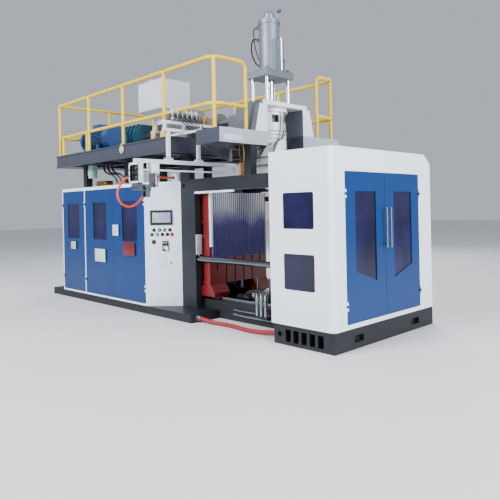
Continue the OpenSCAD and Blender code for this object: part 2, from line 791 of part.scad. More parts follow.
// Slots for mould clamps, cut into the face at x = 0 of a plate that lies at x < 0
module t_slots() {
    for (y = [-450, -270, -90, 90, 270, 450]) {
        box([-35, y - 11, platen_z - over], [over, y + 11, platen_top + over]);
        box([-35, y - 19, platen_z - over], [-20, y + 19, platen_top + over]);
    }
}

foot_reach = 96;

module left_platen() {
    color("#a83e44") {
        difference() {
            union() {
                translate([-back_x, 0, 0]) rotate([90, 0, 90]) linear_extrude(platen_t) platen_outline(false);
                // ribs on the back
                for (y = [-595 + 20, -330, -130, 90, 290, 595 - 60])
                    box([-back_x - rib_h, y, platen_z], [-back_x, y + 40, platen_top]);
                for (z = [platen_z, 900, 1170, 1385, platen_top - 40])
                    box([-back_x - rib_h, -platen_w / 2, z], [-back_x, platen_w / 2, z + 40]);
                rod_x(-back_x - rib_h - 10, -back_x, 0, clamp_axis_z, 160);
            }
            translate([-face_x, 0, 0]) t_slots();
        }
        platen_foot(-1150, -face_x + foot_reach, -back_x, -face_x);
    }
}

module right_platen() {
    color("#a83e44") {
        difference() {
            union() {
                translate([face_x, 0, 0]) rotate([90, 0, 90]) linear_extrude(platen_t) platen_outline(true);
                for (y = [-595 + 20, -330, -130, 90, 290, 595 - 60])
                    box([back_x, y, platen_z], [back_x + rib_h, y + 40, platen_top]);
                for (z = [platen_z, 900, 1170, 1385, platen_top - 40])
                    box([back_x, -platen_w / 2, z], [back_x + rib_h, platen_w / 2, z + 40]);
            }
            translate([face_x, 0, 0]) mirror([1, 0, 0]) t_slots();
            // four holes for the mould's screws
            for (y = [-360, 360]) for (z = [-mould_hole_z, mould_hole_z])
                rod_x(face_x - over, back_x + over, y, mould_z + z, mould_hole_r);
            rod_x(face_x - over, back_x + rib_h + over, -tie_y, tie_low_z, tie_r + fit);
            rod_x(face_x - over, back_x + rib_h + over, tie_y, tie_high_z, tie_r + fit);
        }
        platen_foot(face_x - foot_reach, 1000, face_x, back_x);
    }
}

module end_plate() {
    color("#a83e44") {
        difference() {
            translate([-end_x - end_t, 0, 0]) rotate([90, 0, 90]) linear_extrude(end_t) platen_outline(true);
            rod_x(-end_x - end_t - over, -end_x + over, -tie_y, tie_low_z, tie_r + fit);
            rod_x(-end_x - end_t - over, -end_x + over, tie_y, tie_high_z, tie_r + fit);
        }
        platen_foot(-end_x - end_t - 100, -end_x + 100, -end_x - end_t, -end_x);
    }
}

module tie_bar(y, z) {
    nut_r = tie_r + 32;
    rod_x(-end_x - end_t - 70, back_x + 80, y, z, tie_r);
    translate([-end_x - end_t - 60, y, z]) rotate([0, 90, 0]) cylinder(h = 60 - seat, r = nut_r, $fn = 6);
    translate([-end_x + seat, y, z]) rotate([0, 90, 0]) cylinder(h = 40, r = nut_r, $fn = 6);
    translate([back_x + seat, y, z]) rotate([0, 90, 0]) cylinder(h = 60, r = nut_r, $fn = 6);
}

module tie_bars() {
    color("#8d9296") {
        tie_bar(-tie_y, tie_low_z);
        tie_bar(tie_y, tie_high_z);
    }
}

cyl_bore_r = 100;
module clamp_cylinder() {
    z = clamp_axis_z;
    color("#6f7a80") difference() {
        union() {
            rod_x(-end_x, -end_x + barrel_l, 0, z, 130);
            rod_x(-end_x, -end_x + 50, 0, z, 180);
            rod_x(-end_x + barrel_l - 110, -end_x + barrel_l, 0, z, 145);
            // ports
            for (x = [-end_x + 110, -end_x + barrel_l - 60]) translate([x, 0, z]) cylinder(h = 165, r = 28);
        }
        rod_x(-end_x + 50, -end_x + barrel_l - 100, 0, z, cyl_bore_r);
        rod_x(-end_x + 60, -end_x + barrel_l + over, 0, z, clamp_rod_d / 2 + fit);
    }
}

module clamp_rod() {
    z = clamp_axis_z;
    color("#c9cdd1") {
        rod_x(-end_x + 110, -back_x - rib_h - 10, 0, z, clamp_rod_d / 2);
        rod_x(-end_x + 60, -end_x + 120, 0, z, cyl_bore_r - seat);
        rod_x(-back_x - rib_h - 50, -back_x - rib_h - 10, 0, z, clamp_rod_d / 2 + 45);
    }
}

// Toothed bar along X with its teeth towards -Y; a gap lies at x = gap_x on the pitch line y = 0
module rack_bar(x0, x1, gap_x) {
    h = gear_module;
    half = tooth_pitch / 4 - 0.3;
    slope = tan(20) * h;
    first = ceil((x0 + tooth_pitch - gap_x) / tooth_pitch);
    last = floor((x1 - tooth_pitch - gap_x) / tooth_pitch);
    linear_extrude(rack_h) {
        polygon([[x0, 1.25 * h], [x1, 1.25 * h], [x1, 1.25 * h + 40], [x0, 1.25 * h + 40]]);
        for (k = [first : last]) translate([gap_x + (k + 0.5) * tooth_pitch, 0])
            polygon([[-half - 1.25 * slope, 1.25 * h], [-half + slope * 0.95, -h * 0.95],
                [half - slope * 0.95, -h * 0.95], [half + 1.25 * slope, 1.25 * h]]);
    }
}

module left_rack() {
    x0 = pinion_x - stroke - 100;
    color("#9aa0a6") {
        translate([0, pinion_r, rack_z]) rack_bar(x0, -back_x + 40, pinion_x);
        // bracket up to the platen
        box([-back_x - 55, pinion_r + 1.25 * gear_module, rack_z + rack_h], [-back_x + 40, pinion_r + 1.25 * gear_module + 40, platen_z]);
    }
}

module right_rack() {
    x1 = pinion_x + stroke + 100;
    color("#9aa0a6") {
        mirror([0, 1, 0]) translate([0, pinion_r, rack_z]) rack_bar(-end_x - 40, x1, pinion_x);
        box([-end_x - 40, -pinion_r - 1.25 * gear_module - 40, rack_z + rack_h], [-end_x + 55, -pinion_r - 1.25 * gear_module, platen_z]);
    }
}

// Half width of a pinion tooth in degrees at radius rho, from the involute
function tooth_half(rho) = 90 / pinion_teeth - 0.25 + inv(20) - inv(acos(pinion_r * cos(20) / rho));

module sync_pinion() {
    base_r = pinion_r * cos(20) + 0.01;
    tip_r = pinion_r + gear_module * 0.95;
    root_r = pinion_r - 1.25 * gear_module;
    radii = [for (i = [0 : 4]) base_r + (tip_r - base_r) * i / 4];
    outline = [for (t = [0 : pinion_teeth - 1]) let (a = t * 360 / pinion_teeth) each concat(
        [root_r * [cos(a - tooth_half(base_r)), sin(a - tooth_half(base_r))]],
        [for (i = [0 : 4]) radii[i] * [cos(a - tooth_half(radii[i])), sin(a - tooth_half(radii[i]))]],
        [for (i = [4 : -1 : 0]) radii[i] * [cos(a + tooth_half(radii[i])), sin(a + tooth_half(radii[i]))]],
        [root_r * [cos(a + tooth_half(base_r)), sin(a + tooth_half(base_r))]])];
    turn = 90 % (360 / pinion_teeth);
    color("#a7acb1") translate([pinion_x, 0, rack_z]) difference() {
        rotate([0, 0, turn]) linear_extrude(rack_h) polygon(outline);
        translate([0, 0, -over]) cylinder(h = rack_h + 2 * over, r = pinion_pin_r + fit);
    }
}

module guard_sheet() {
    y0 = -560;
    y1 = 560;
    rib = 40;
    x = -face_x + seat;
    z0 = 862;
    color("#7c8296") {
        translate([0, 0, z0]) linear_extrude(platen_top - z0)
            for (i = [0 : (y1 - y0) / rib - 1]) translate([x, y0 + i * rib])
                polygon([[0, 0], [8, 0], [8, 8], [26, 14], [26, 26], [8, 32], [8, rib], [0, rib]]);
    }
    color("#f2f5f8") box([x, y0 - 34, 1037], [x + 45, y0, platen_top]);
}

module blow_unit() {
    z0 = bed_h - 20;
    color("#6c7470") {
        box([-165, -280, z0], [165, 280, z0 + 30]);
        // guide posts and the lower plate
        for (x = [-120, 120]) for (y = [-220, 220]) translate([x, y, z0 + 30]) cylinder(h = 340, r = 20);
    }
    color("#8c949a") {
        box([-90, -80, z0 + 30], [90, 80, z0 + 90]);
        translate([0, 0, z0 + 90]) cylinder(h = 25, r = 50);
        // valve row at the front
        box([-150, -279, z0 + 30], [150, -250, z0 + 150]);
        for (i = [0 : 3]) {
            translate([-112 + i * 75, -265, z0 + 150]) cylinder(h = 45, r = 13);
            rod_y(-112 + i * 75, -290, -279, z0 + 80, 18);
        }
    }
}

module blow_pins() {
    z0 = bed_h + 100;
    color("#a9b3a8") difference() {
        box([-150, -250, z0], [150, 250, z0 + 40]);
        for (x = [-120, 120]) for (y = [-220, 220]) translate([x, y, z0 - over]) cylinder(h = 40 + 2 * over, r = 20 + fit);
    }
    color("#c9cdd1") for (y = [-60, 60]) translate([0, y, z0 + 40]) {
        cylinder(h = 60, r = 24);
        cylinder(h = 130, r = 14);
    }
}

module platform_deck() {
    w = 70;
    mid_1 = -(far_post_x + mid_post_x) / 2;
    mid_2 = -(mid_post_x - post_half + column_x0) / 2;
    joists = [[-deck_left, -far_post_x + post_half], [mid_1 - w / 2, mid_1 + w / 2],
        [-mid_post_x - post_half, -mid_post_x + post_half], [mid_2 - w / 2, mid_2 + w / 2],
        [-column_x0, -column_x1 - 120], [-deck_right - w, -deck_right]];
    // channel beams, joists and deck plate
    color("#6a7785") difference() {
        box([-deck_left, -deck_front, beam_bottom], [-deck_right, deck_back, deck_z]);
        // channels open outwards at the front
        box([-deck_left - over, -deck_front - over, beam_bottom + 24], [-deck_right + over, -deck_front + 12, deck_z - 24]);
        // spaces between the joists, which lie over the posts
        for (i = [0 : len(joists) - 2]) for (j = [0 : 3]) {
            py = (deck_front + deck_back - w) / 4;
            box([joists[i][1], -deck_front + w + j * py, beam_bottom - over],
                [joists[i + 1][0], -deck_front + (j + 1) * py, deck_z - 8]);
        }
    }
    // carriers beside the head
    color("#d9dde8") {
        box([-carrier_left, -deck_front, carrier_z], [carrier_right, -portal_half, deck_z]);
        box([-carrier_left, portal_half, carrier_z], [carrier_right, deck_back, deck_z]);
    }
    // walkway behind the head
    color("#6a7785") box([-deck_right + seat, deck_back - 560, deck_z - 60], [-carrier_left - seat, deck_back, deck_z]);
}

// Rails along the front (s = -1) and the back (s = 1): line, right end and place of the return
function line_y(s) = s < 0 ? -rail_line : rear_line;
function line_x(s) = s < 0 ? 150 : 250;
function return_y(s) = s < 0 ? -650 : 740;
function line_posts(s) = concat([[line_x(s) - corner_in, line_y(s) - s * corner_in]],
    [for (i = [1 : post_count - 1]) [post_x0 - i * post_pitch, line_y(s)]]);
function end_posts() = [[end_rail_x, -185], [end_rail_x, 845]];

module handrail_posts() {
    color("#e0b840") difference() {
        for (p = concat(line_posts(-1), line_posts(1), end_posts())) translate([p[0], p[1], deck_z]) {
            cylinder(h = handrail_h, r = tube_r);
            translate([-50, -33, 0]) cube([100, 66, 10]);
        }
        // saddles under the top rails
        for (s = [-1, 1]) {
            rod_x(end_rail_x - 100, line_x(s) - corner_r + 1, line_y(s), top_rail_z, tube_r + seat);
            corner_bend(s, top_rail_z, tube_r + seat);
        }
        rod_y(end_rail_x, -rail_line - 100, rear_line + 100, top_rail_z, tube_r + seat);
    }
    // short second posts at the left end and beside the second post
    color("#e0b840") for (x = [end_rail_x + 140, end_rail_x + post_pitch - 75])
        translate([x, -rail_line, deck_z]) cylinder(h = knee_rail_h - tube_r, r = tube_r);
}

// Quarter bend of the handrail tube round the origin, from +X to +Y
module elbow(r, t = tube_r) {
    rotate_extrude(angle = 90) translate([r, 0]) circle(t);
}

// Corner bend of a rail
module corner_bend(s, z, t = tube_r) {
    translate([line_x(s) - corner_r, line_y(s) - s * corner_r, z]) mirror([0, s < 0 ? 1 : 0, 0]) elbow(corner_r, t);
}

// Rounds for the posts that a rail meets
module post_rounds(posts, z) {
    for (p = posts) translate([p[0], p[1], z - 60]) cylinder(h = 120, r = tube_r + seat);
}

module handrails() {
    color("#e0b840") {
        for (s = [-1, 1]) {
            x = line_x(s);
            y = line_y(s);
            ry = return_y(s);
            y0 = y - s * (corner_r + seat);
            y1 = ry + s * (elbow_r + seat);
            // top rail, its corner, and the run towards the return
            rod_x(end_rail_x, x - corner_r - seat, y, top_rail_z, tube_r);
            corner_bend(s, top_rail_z);
            rod_y(x, min(y0, y1), max(y0, y1), top_rail_z, tube_r);
            // return down to the deck
            translate([x, ry + s * elbow_r, top_rail_z - elbow_r]) rotate([90, 0, s < 0 ? 90 : -90]) elbow(elbow_r);
            translate([x, ry, deck_z]) cylinder(h = handrail_h - elbow_r - seat, r = tube_r);
            // knee rails
            difference() {
                union() {
                    rod_x(end_rail_x, x - corner_r - seat, y, knee_rail_z, tube_r);
                    corner_bend(s, knee_rail_z);
                    rod_y(x, min(y0, ry), max(y0, ry), knee_rail_z, tube_r);
                }
                post_rounds(concat(line_posts(s), [[x, ry]]), knee_rail_z);
            }
        }
        y0 = -rail_line + tube_r + seat;
        y1 = rear_line - tube_r - seat;
        rod_y(end_rail_x, y0, y1, top_rail_z, tube_r);
        difference() {
            rod_y(end_rail_x, y0, y1, knee_rail_z, tube_r);
            post_rounds(end_posts(), knee_rail_z);
        }
    }
}

module portal() {
    foot = portal_half + portal_leg;
    head = foot - 90;
    depth = carrier_left + carrier_right;
    color("#e2e7f0") difference() {
        union() {
            for (s = [0, 1]) mirror([0, s, 0]) translate([-carrier_left, 0, 0]) rotate([90, 0, 90])
                linear_extrude(depth)
                    polygon([[portal_half, deck_z], [foot, deck_z], [head, portal_z], [portal_half, portal_z]]);
            box([-carrier_left, 60 - head, portal_z], [carrier_right, head - 60, portal_top]);
        }
        translate([0, 0, portal_z - over]) cylinder(h = portal_plate_t + 2 * over, r = push_rod_r + 12);
    }
}

column_x = 140;
column_yy = 220;
module head_columns() {
    color("#d5d9dd") for (x = [-column_x, column_x]) for (y = [-column_yy, column_yy])
        translate([x, y, portal_top]) {
            cylinder(h = column_l, d = column_d);
            cylinder(h = 30, d = column_d + 30);
        }
}

module push_cylinder() {
    r = push_cyl_d / 2;
    color("#9fa8ad") difference() {
        union() {
            box([-column_x - 70, -column_yy - 60, cyl_plate_z], [column_x + 70, column_yy + 60, cyl_z]);
            translate([0, 0, cyl_z]) cylinder(h = push_cyl_l, r = r);
            translate([0, 0, cyl_z]) cylinder(h = 40, r = r + 24);
            translate([0, 0, cyl_top - 70]) cylinder(h = 40, r = r + 10);
            // dome over the mandrel's own cylinder
            translate([0, 0, cyl_top]) rotate_extrude()
                polygon([[0, 0], [84, 0], [84, 80], [76, 105], [56, 122], [0, 130]]);
            // oil box on the right side and the port at the left
            box([r - 60, -90, cyl_z], [r + 45, 90, cyl_z + 440]);
            rod_x(-r - 60, -r + 20, 0, cyl_top - 50, 26);
            rod_x(-r - 50, -r + 20, 0, cyl_top - 230, 22);
            translate([r - 40, 60, cyl_top - over]) cylinder(h = 145, r = 16);
        }
        translate([0, 0, cyl_z + 20]) cylinder(h = push_cyl_l - 50, r = 110);
        translate([0, 0, cyl_plate_z - over]) cylinder(h = cyl_plate_t + 40, r = push_rod_r + fit);
        translate([0, 0, cyl_top - 60]) cylinder(h = 120, r = mandrel_r + fit);
    }
}

module push_rod() {
    piston_z = cyl_z + 20 + push_stroke + 120;
    z0 = 2780;
    color("#c9cdd1") difference() {
        union() {
            translate([0, 0, z0]) cylinder(h = piston_z + 60 - z0, r = push_rod_r);
            translate([0, 0, piston_z]) cylinder(h = 60, r = 110 - seat);
        }
        translate([0, 0, z0 - over]) cylinder(h = piston_z + 62 - z0, r = mandrel_r + 5);
    }
}

module mandrel() {
    color("#b9bdc2") {
        translate([0, 0, die_z + 40]) cylinder(h = cyl_top - die_z - 45, r = mandrel_r);
        translate([0, 0, die_z + seat]) rotate_extrude()
            polygon([[0, 0], [die_r - 18, 0], [die_r - 18, 20], [mandrel_r, 70], [0, 70]]);
    }
}

lantern_z = 2810;
lantern_h = 110;
module head_body() {
    r = head_d / 2;
    color("#c3c8cc") {
        difference() {
            rotate_extrude() polygon([[0, die_z], [die_r + 40, die_z], [die_r + 40, die_z + 40], [r - 60, die_z + 60],
                [r - 60, die_z + 150], [r - 25, die_z + 170], [r - 25, 2160], [r, 2180], [r, 2575], [r - 6, 2578],
                [r - 6, 2584], [r, 2587], [r, 2628], [r - 6, 2631], [r - 6, 2637], [r, 2640], [r, 2680], [r - 8, 2683],
                [r - 8, 2692], [r, 2695], [r, 2960], [r + 22, 2962], [r + 22, portal_z], [0, portal_z]]);
            // windows of the lantern ring
            for (a = [30 : 60 : 330]) rotate([0, 0, a])
                box([push_rod_r + 40, -52, lantern_z], [r + over, 52, lantern_z + lantern_h]);
            // bore of the ring piston and of the die
            translate([0, 0, 2200]) cylinder(h = portal_z - 2200 + over, r = push_rod_r + seat);
            translate([0, 0, die_z - over]) cylinder(h = 340, r = die_r);
        }
    }
}

module heater_bands() {
    r = head_d / 2;
    color("#5d6166") for (b = [[2300, 60, r], [2220, 60, r], [2065, 70, r - 25], [1940, 60, r - 60]])
        translate([0, 0, b[0] - b[1] / 2]) {
            difference() {
                cylinder(h = b[1], r = b[2] + 10);
                translate([0, 0, -over]) cylinder(h = b[1] + 2 * over, r = b[2] + seat);
            }
            rotate([0, 0, -40]) box([b[2] + 8, -35, 10], [b[2] + 38, 35, b[1] - 10]);
        }
}

module extruder_barrel() {
    color("#8d9296") difference() {
        union() {
            rod_x(-barrel_x0, -barrel_x1, 0, screw_z, barrel_r);
            rod_x(-barrel_x1 - 50, -barrel_x1, 0, screw_z, 170);
            // feed block with its neck to the gearbox
            box([-hopper_x - 160, -150, screw_z - 150], [-hopper_x + 120, 150, screw_z + 160]);
            rod_x(-gearbox_x1, -hopper_x - 150, 0, screw_z, 120);
            // stands on the deck
            box([-hopper_x - 80, -90, deck_z], [-hopper_x + 60, 90, screw_z - 140]);
            box([-barrel_x1 - 150, -60, deck_z], [-barrel_x1 - 90, 60, screw_z - barrel_r + 20]);
            box([-barrel_x1 - 180, -110, deck_z], [-barrel_x1 - 60, 110, deck_z + 16]);
        }
        rod_x(-gearbox_x1 - over, -barrel_x1 + over, 0, screw_z, screw_r + seat);
        translate([-hopper_x, 0, screw_z]) cylinder(h = 200, r = 60);
    }
}

// Flight of the screw: one closed strip wound round the core
module screw_flight(x0, turns, pitch, r0, r1, w) {
    steps = 14;
    n = turns * steps;
    pts = [for (i = [0 : n]) let (a = i * 360 / steps, x = x0 + i * pitch / steps)
        for (c = [[r0, -w], [r1, -w / 2], [r1, w / 2], [r0, w]])
            [x + c[1], c[0] * cos(a), c[0] * sin(a)]];
    faces = concat([[3, 2, 1, 0]],
        [for (i = [0 : n - 1]) for (k = [0 : 3])
            let (a = i * 4 + k, b = i * 4 + (k + 1) % 4) [a, b, b + 4, a + 4]],
        [[n * 4, n * 4 + 1, n * 4 + 2, n * 4 + 3]]);
    polyhedron(pts, faces);
}

module extruder_screw() {
    pitch = screw_d;
    turns = 13;
    color("#b9bdc2") {
        rod_x(-gearbox_x1 + seat, -barrel_x1 - 60, 0, screw_z, screw_r - 12);
        rod_x(-gearbox_x1 + seat, -hopper_x - 90, 0, screw_z, screw_r);
        translate([0, 0, screw_z]) screw_flight(-hopper_x - 60, turns, pitch * 0.9, screw_r - 14, screw_r - 0.2, 9);
    }
}

module barrel_cover() {
    x0 = -hopper_x + 235;
    x1 = -barrel_x1 - 190;
    t = 6;
    w = 215;
    h = screw_z + 180;
    module arch(d) {
        translate([-w + d, deck_z + 60 - (d > 0 ? over : 0)]) square([2 * (w - d), h - deck_z - 60 + (d > 0 ? over : 0)]);
        intersection() {
            translate([0, h]) circle(w - d);
            translate([-w, h]) square([2 * w, w * 0.62 - d]);
        }
    }
    color("#c9ced2") difference() {
        translate([x0, 0, 0]) rotate([90, 0, 90]) linear_extrude(x1 - x0) arch(0);
        translate([x0 + t, 0, 0]) rotate([90, 0, 90]) linear_extrude(x1 - x0 - 2 * t) arch(t);
        rod_x(x0 - over, x1 + over, 0, screw_z, barrel_r + seat);
        // rows of slots in the sides
        for (i = [0 : 6]) for (j = [0 : 3])
            box([x0 + 40 + i * 88, -w - over, deck_z + 150 + j * 80], [x0 + 100 + i * 88, w + over, deck_z + 172 + j * 80]);
    }
    // feet under the cover
    color("#c9ced2") for (x = [x0 + 10, x1 - 50]) for (y = [-w, w - 40])
        box([x, y, deck_z], [x + 40, y + 40, deck_z + 60]);
}

module melt_adapter() {
    r = 62;
    k = 78;
    // the pipe falls at 45 degrees between two elbow blocks
    drop = screw_z - inlet_z;
    xb = -adapter_x + 380;
    color("#b4b8bc") difference() {
        union() {
            rod_x(-barrel_x1 + seat, -barrel_x1 + 50, 0, screw_z, 170);
            rod_x(-barrel_x1 + 40, xb, 0, screw_z, r);
            rod_x(-adapter_x - 45, -adapter_x + 45, 0, screw_z, 160);
            box([xb - k, -k, screw_z - k], [xb + k, k, screw_z + k]);
            translate([xb, 0, screw_z]) rotate([0, 135, 0]) cylinder(h = drop * sqrt(2), r = r - 4);
            box([xb + drop - k, -k, deck_z + 6], [xb + drop + k, k, inlet_z + k]);
            rod_x(xb + drop, -head_d / 2 + 10, 0, inlet_z, r);
            rod_x(-head_d / 2 - 55, -head_d / 2 + 10, 0, inlet_z, 100);
        }
        translate([0, 0, inlet_z - 140]) cylinder(h = 280, r = head_d / 2 + seat);
    }
}

module gearbox() {
    color("#2f5f73") {
        difference() {
            translate([-gearbox_x0, 0, 0]) rotate([90, 0, 90]) linear_extrude(gearbox_x0 - gearbox_x1)
                polygon([[-300, deck_z], [300, deck_z], [300, deck_z + 40], [260, deck_z + 60], [260, deck_z + 430],
                    [190, deck_z + 540], [-190, deck_z + 540], [-260, deck_z + 430], [-260, deck_z + 60], [-300, deck_z + 40]]);
            rod_x(-gearbox_x1 - 30, -gearbox_x1 + over, 0, screw_z, screw_r + 20);
        }
        // cast ribs
        for (i = [0 : 5]) translate([-gearbox_x0 + 60 + i * 130, 0, 0]) rotate([90, 0, 90]) linear_extrude(24)
            polygon([[-292, deck_z + 20], [292, deck_z + 20], [292, deck_z + 440], [215, deck_z + 560], [-215, deck_z + 560],
                [-292, deck_z + 440]]);
        for (x = [-gearbox_x0 + 250, -gearbox_x1 - 260]) translate([x, 0, deck_z + 540]) cylinder(h = 50, r = 28);
    }
    // guard of the belts between motor and gearbox
    color("#3a6ea8") {
        box([-gearbox_x0 - 75, motor_y, motor_z - 150], [-gearbox_x0 - seat, 0, screw_z + 150]);
        rod_x(-gearbox_x0 - 75, -gearbox_x0 - seat, motor_y, motor_z, 150);
        rod_x(-gearbox_x0 - 75, -gearbox_x0 - seat, 0, screw_z, 150);
        box([-gearbox_x0 - 65, -500, deck_z], [-gearbox_x0 - 15, -300, motor_z - 140]);
    }
}

module main_motor() {
    x0 = -gearbox_x0 + seat;
    x1 = -3000;
    fins = 30;
    color("#37608f") {
        rod_x(x0, x1 - 40, motor_y, motor_z, motor_r);
        rod_x(x0, x0 + 60, motor_y, motor_z, motor_r + 35);
        // fins all round the body
        for (i = [0 : fins - 1]) translate([0, motor_y, motor_z]) rotate([i * 360 / fins, 0, 0])
            box([x0 + 60, -4, motor_r - 6], [x1 - 210, 4, motor_r + 30]);
        // fan cowl
        rod_x(x1 - 210, x1, motor_y, motor_z, motor_r + 34);
        // terminal box and feet
        box([x0 + 300, motor_y - 110, motor_z + motor_r - 10], [x0 + 540, motor_y + 110, motor_z + motor_r + 95]);
        for (x = [x0 + 120, x1 - 400]) for (s = [-1, 1])
            box([x, motor_y + s * 140 - 50, deck_z], [x + 110, motor_y + s * 140 + 50, motor_z - 100]);
    }
}

hopper_z = screw_z + 410;
neck_z = screw_z + 160;
module hopper() {
    t = 8;
    neck = 90;
    module taper(d) {
        hull() {
            translate([0, 0, hopper_z - 0.5]) cube([hopper_w - 2 * d, hopper_d - 2 * d, 1], center = true);
            translate([0, 0, neck_z + 80]) cube([2 * neck - 2 * d, 2 * neck - 2 * d, 1], center = true);
        }
    }
    color("#dfe3ea") translate([-hopper_x, 0, 0]) difference() {
        union() {
            translate([-hopper_w / 2, -hopper_d / 2, hopper_z - 1]) cube([hopper_w, hopper_d, hopper_h + 1]);
            taper(0);
            box([-neck, -neck, neck_z], [neck, neck, neck_z + 82]);
            box([-neck - 30, -neck - 30, neck_z], [neck + 30, neck + 30, neck_z + 16]);
        }
        translate([-hopper_w / 2 + t, -hopper_d / 2 + t, hopper_z - 2]) cube([hopper_w - 2 * t, hopper_d - 2 * t, hopper_h + 3]);
        taper(t);
        translate([0, 0, neck_z - over]) cylinder(h = 100, r = 60);
    }
    // hinge of the lid
    color("#9aa0a6") for (x = [-hopper_x - 250, -hopper_x + 190]) {
        for (s = [0, 40]) {
            rod_x(x + s, x + s + 20, hopper_d / 2 + 12, hopper_z + hopper_h, 10);
            box([x + s, hopper_d / 2 - 1, hopper_z + hopper_h - 40], [x + s + 20, hopper_d / 2 + 12, hopper_z + hopper_h]);
        }
        rod_x(x, x + 60, hopper_d / 2 + 12, hopper_z + hopper_h, 5);
    }
}

module hopper_lid() {
    z = hopper_z + hopper_h + seat;
    y = hopper_d / 2 + 12;
    color("#dfe3ea") difference() {
        union() {
            box([-hopper_x - hopper_w / 2 - 6, -hopper_d / 2 - 6, z], [-hopper_x + hopper_w / 2 + 6, hopper_d / 2 - 1, z + 14]);
            for (x = [-hopper_x - 230, -hopper_x + 210]) {
                rod_x(x + seat, x + 20 - seat, y, z - seat, 10);
                box([x + seat, hopper_d / 2 - 2, z], [x + 20 - seat, y, z + 9]);
            }
            box([-hopper_x - 60, -hopper_d / 2 + 20, z + 13], [-hopper_x + 60, -hopper_d / 2 + 32, z + 40]);
        }
        for (x = [-hopper_x - 230, -hopper_x + 210]) rod_x(x - over, x + 22, y, z - seat, 5 + fit);
    }
}

arm_z1 = arm_z + 50;
module takeout_arm() {
    x = -arm_x;
    arm_front = -1880;
    arm_back = -190;
    guide_z = 2130;
    color("#dfe3ea") {
        // cross bars over the gap of the deck and the two rails under the hangers
        for (y = [-1180, -720]) box([x - 300, y, deck_z], [x + 440, y + 60, deck_z + 25]);
        for (z = [deck_z + 25, deck_z + 130]) box([x - 25, -1480, z], [x + 25, -560, z + 40]);
        for (y = [-1470, -1160, -860, -600]) box([x - 20, y, deck_z + 65], [x + 20, y + 30, deck_z + 130]);
        // hangers with their feet
        for (y = [-1425, -905]) {
            box([x - 22, y, arm_z1 + 20], [x + 22, y + 44, deck_z + 25]);
            box([x - 45, y - 25, arm_z1], [x + 45, y + 69, arm_z1 + 20]);
        }
        // beam
        box([x - 30, arm_front - 60, arm_z], [x + 30, arm_back, arm_z1]);
        // end plate and guide rod
        box([x - 60, arm_back - 20, 2050], [x + 60, arm_back, arm_z]);
        rod_y(x, arm_front - 10, arm_back - 10, guide_z, 12);
    }
    // frame at the near end
    color("#b9bdc2") difference() {
        box([x - 140, arm_front - 60, 1955], [x + 110, arm_front, arm_z]);
        box([x - 115, arm_front - 61, 1980], [x + 85, arm_front - 20, 2190]);
        box([x - 90, arm_front - 61, 1980], [x + 60, arm_front + 1, 2105]);
    }
    // valve block under the frame
    color("#b9bdc2") {
        box([x - 90, arm_front - 50, 1860], [x + 50, arm_front + 30, 1955]);
        for (i = [0 : 2]) rod_y(x - 65 + i * 45, arm_front - 70, arm_front - 50, 1905, 14);
    }
}

module takeout_gripper() {
    x = -arm_x;
    y0 = -1720;
    guide_z = 2130;
    color("#f2f5f8") difference() {
        box([x - 50, y0, 2085], [x + 50, y0 + 130, arm_z - seat]);
        rod_y(x, y0 - over, y0 + 131, guide_z, 12 + fit);
    }
    color("#b9bdc2") {
        box([x - 35, y0 + 20, 1940], [x + 35, y0 + 110, 2085]);
        box([x - 35, y0 - 90, 1900], [x + 35, y0 + 110, 1940]);
        // gripper body with its two fingers
        box([x - 60, y0 - 90, 1850], [x + 60, y0 - 10, 1900]);
        for (s = [-1, 1]) box([x + s * 42 - 12, y0 - 80, 1770], [x + s * 42 + 12, y0 - 20, 1850]);
    }
}

module arm_hose() { color("#d9562e") swept_tube(arm_hose_pts, arm_hose_r, [1, 1, 0]); }
module floor_hose() { color("#a8303f") swept_tube(floor_hose_pts, floor_hose_r, [0, 0, 1], 10); }

base_left();
base_right();
clamp_bed();
linear_rails();
frame_columns();
frame_beams();
cabinet_shell();
cabinet_door(0);  // cabinet_door_1
cabinet_door(1);  // cabinet_door_2
cabinet_door(2);  // cabinet_door_3
cabinet_window(0);  // cabinet_window_1
cabinet_window(1);  // cabinet_window_2
cabinet_window(2);  // cabinet_window_3
hydraulic_unit();
panel_casing();
panel_fittings();
selector_switch();
push_button_1();
push_button_2();
emergency_stop();
housing_shell();
housing_windows();
housing_door(false);  // housing_door_near
housing_door(true);  // housing_door_far
housing_pane(false);  // housing_pane_near
housing_pane(true);  // housing_pane_far
left_platen();
right_platen();
tie_bars();
end_plate();
clamp_cylinder();
clamp_rod();
left_rack();
right_rack();
sync_pinion();
guard_sheet();
blow_unit();
blow_pins();
platform_deck();
handrail_posts();
handrails();
portal();
head_columns();
push_cylinder();
push_rod();
mandrel();
head_body();
heater_bands();
extruder_barrel();
extruder_screw();
barrel_cover();
melt_adapter();
gearbox();
main_motor();
hopper();
hopper_lid();
takeout_arm();
takeout_gripper();
arm_hose();
floor_hose();
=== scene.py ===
import math

import bpy
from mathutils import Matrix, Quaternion, Vector


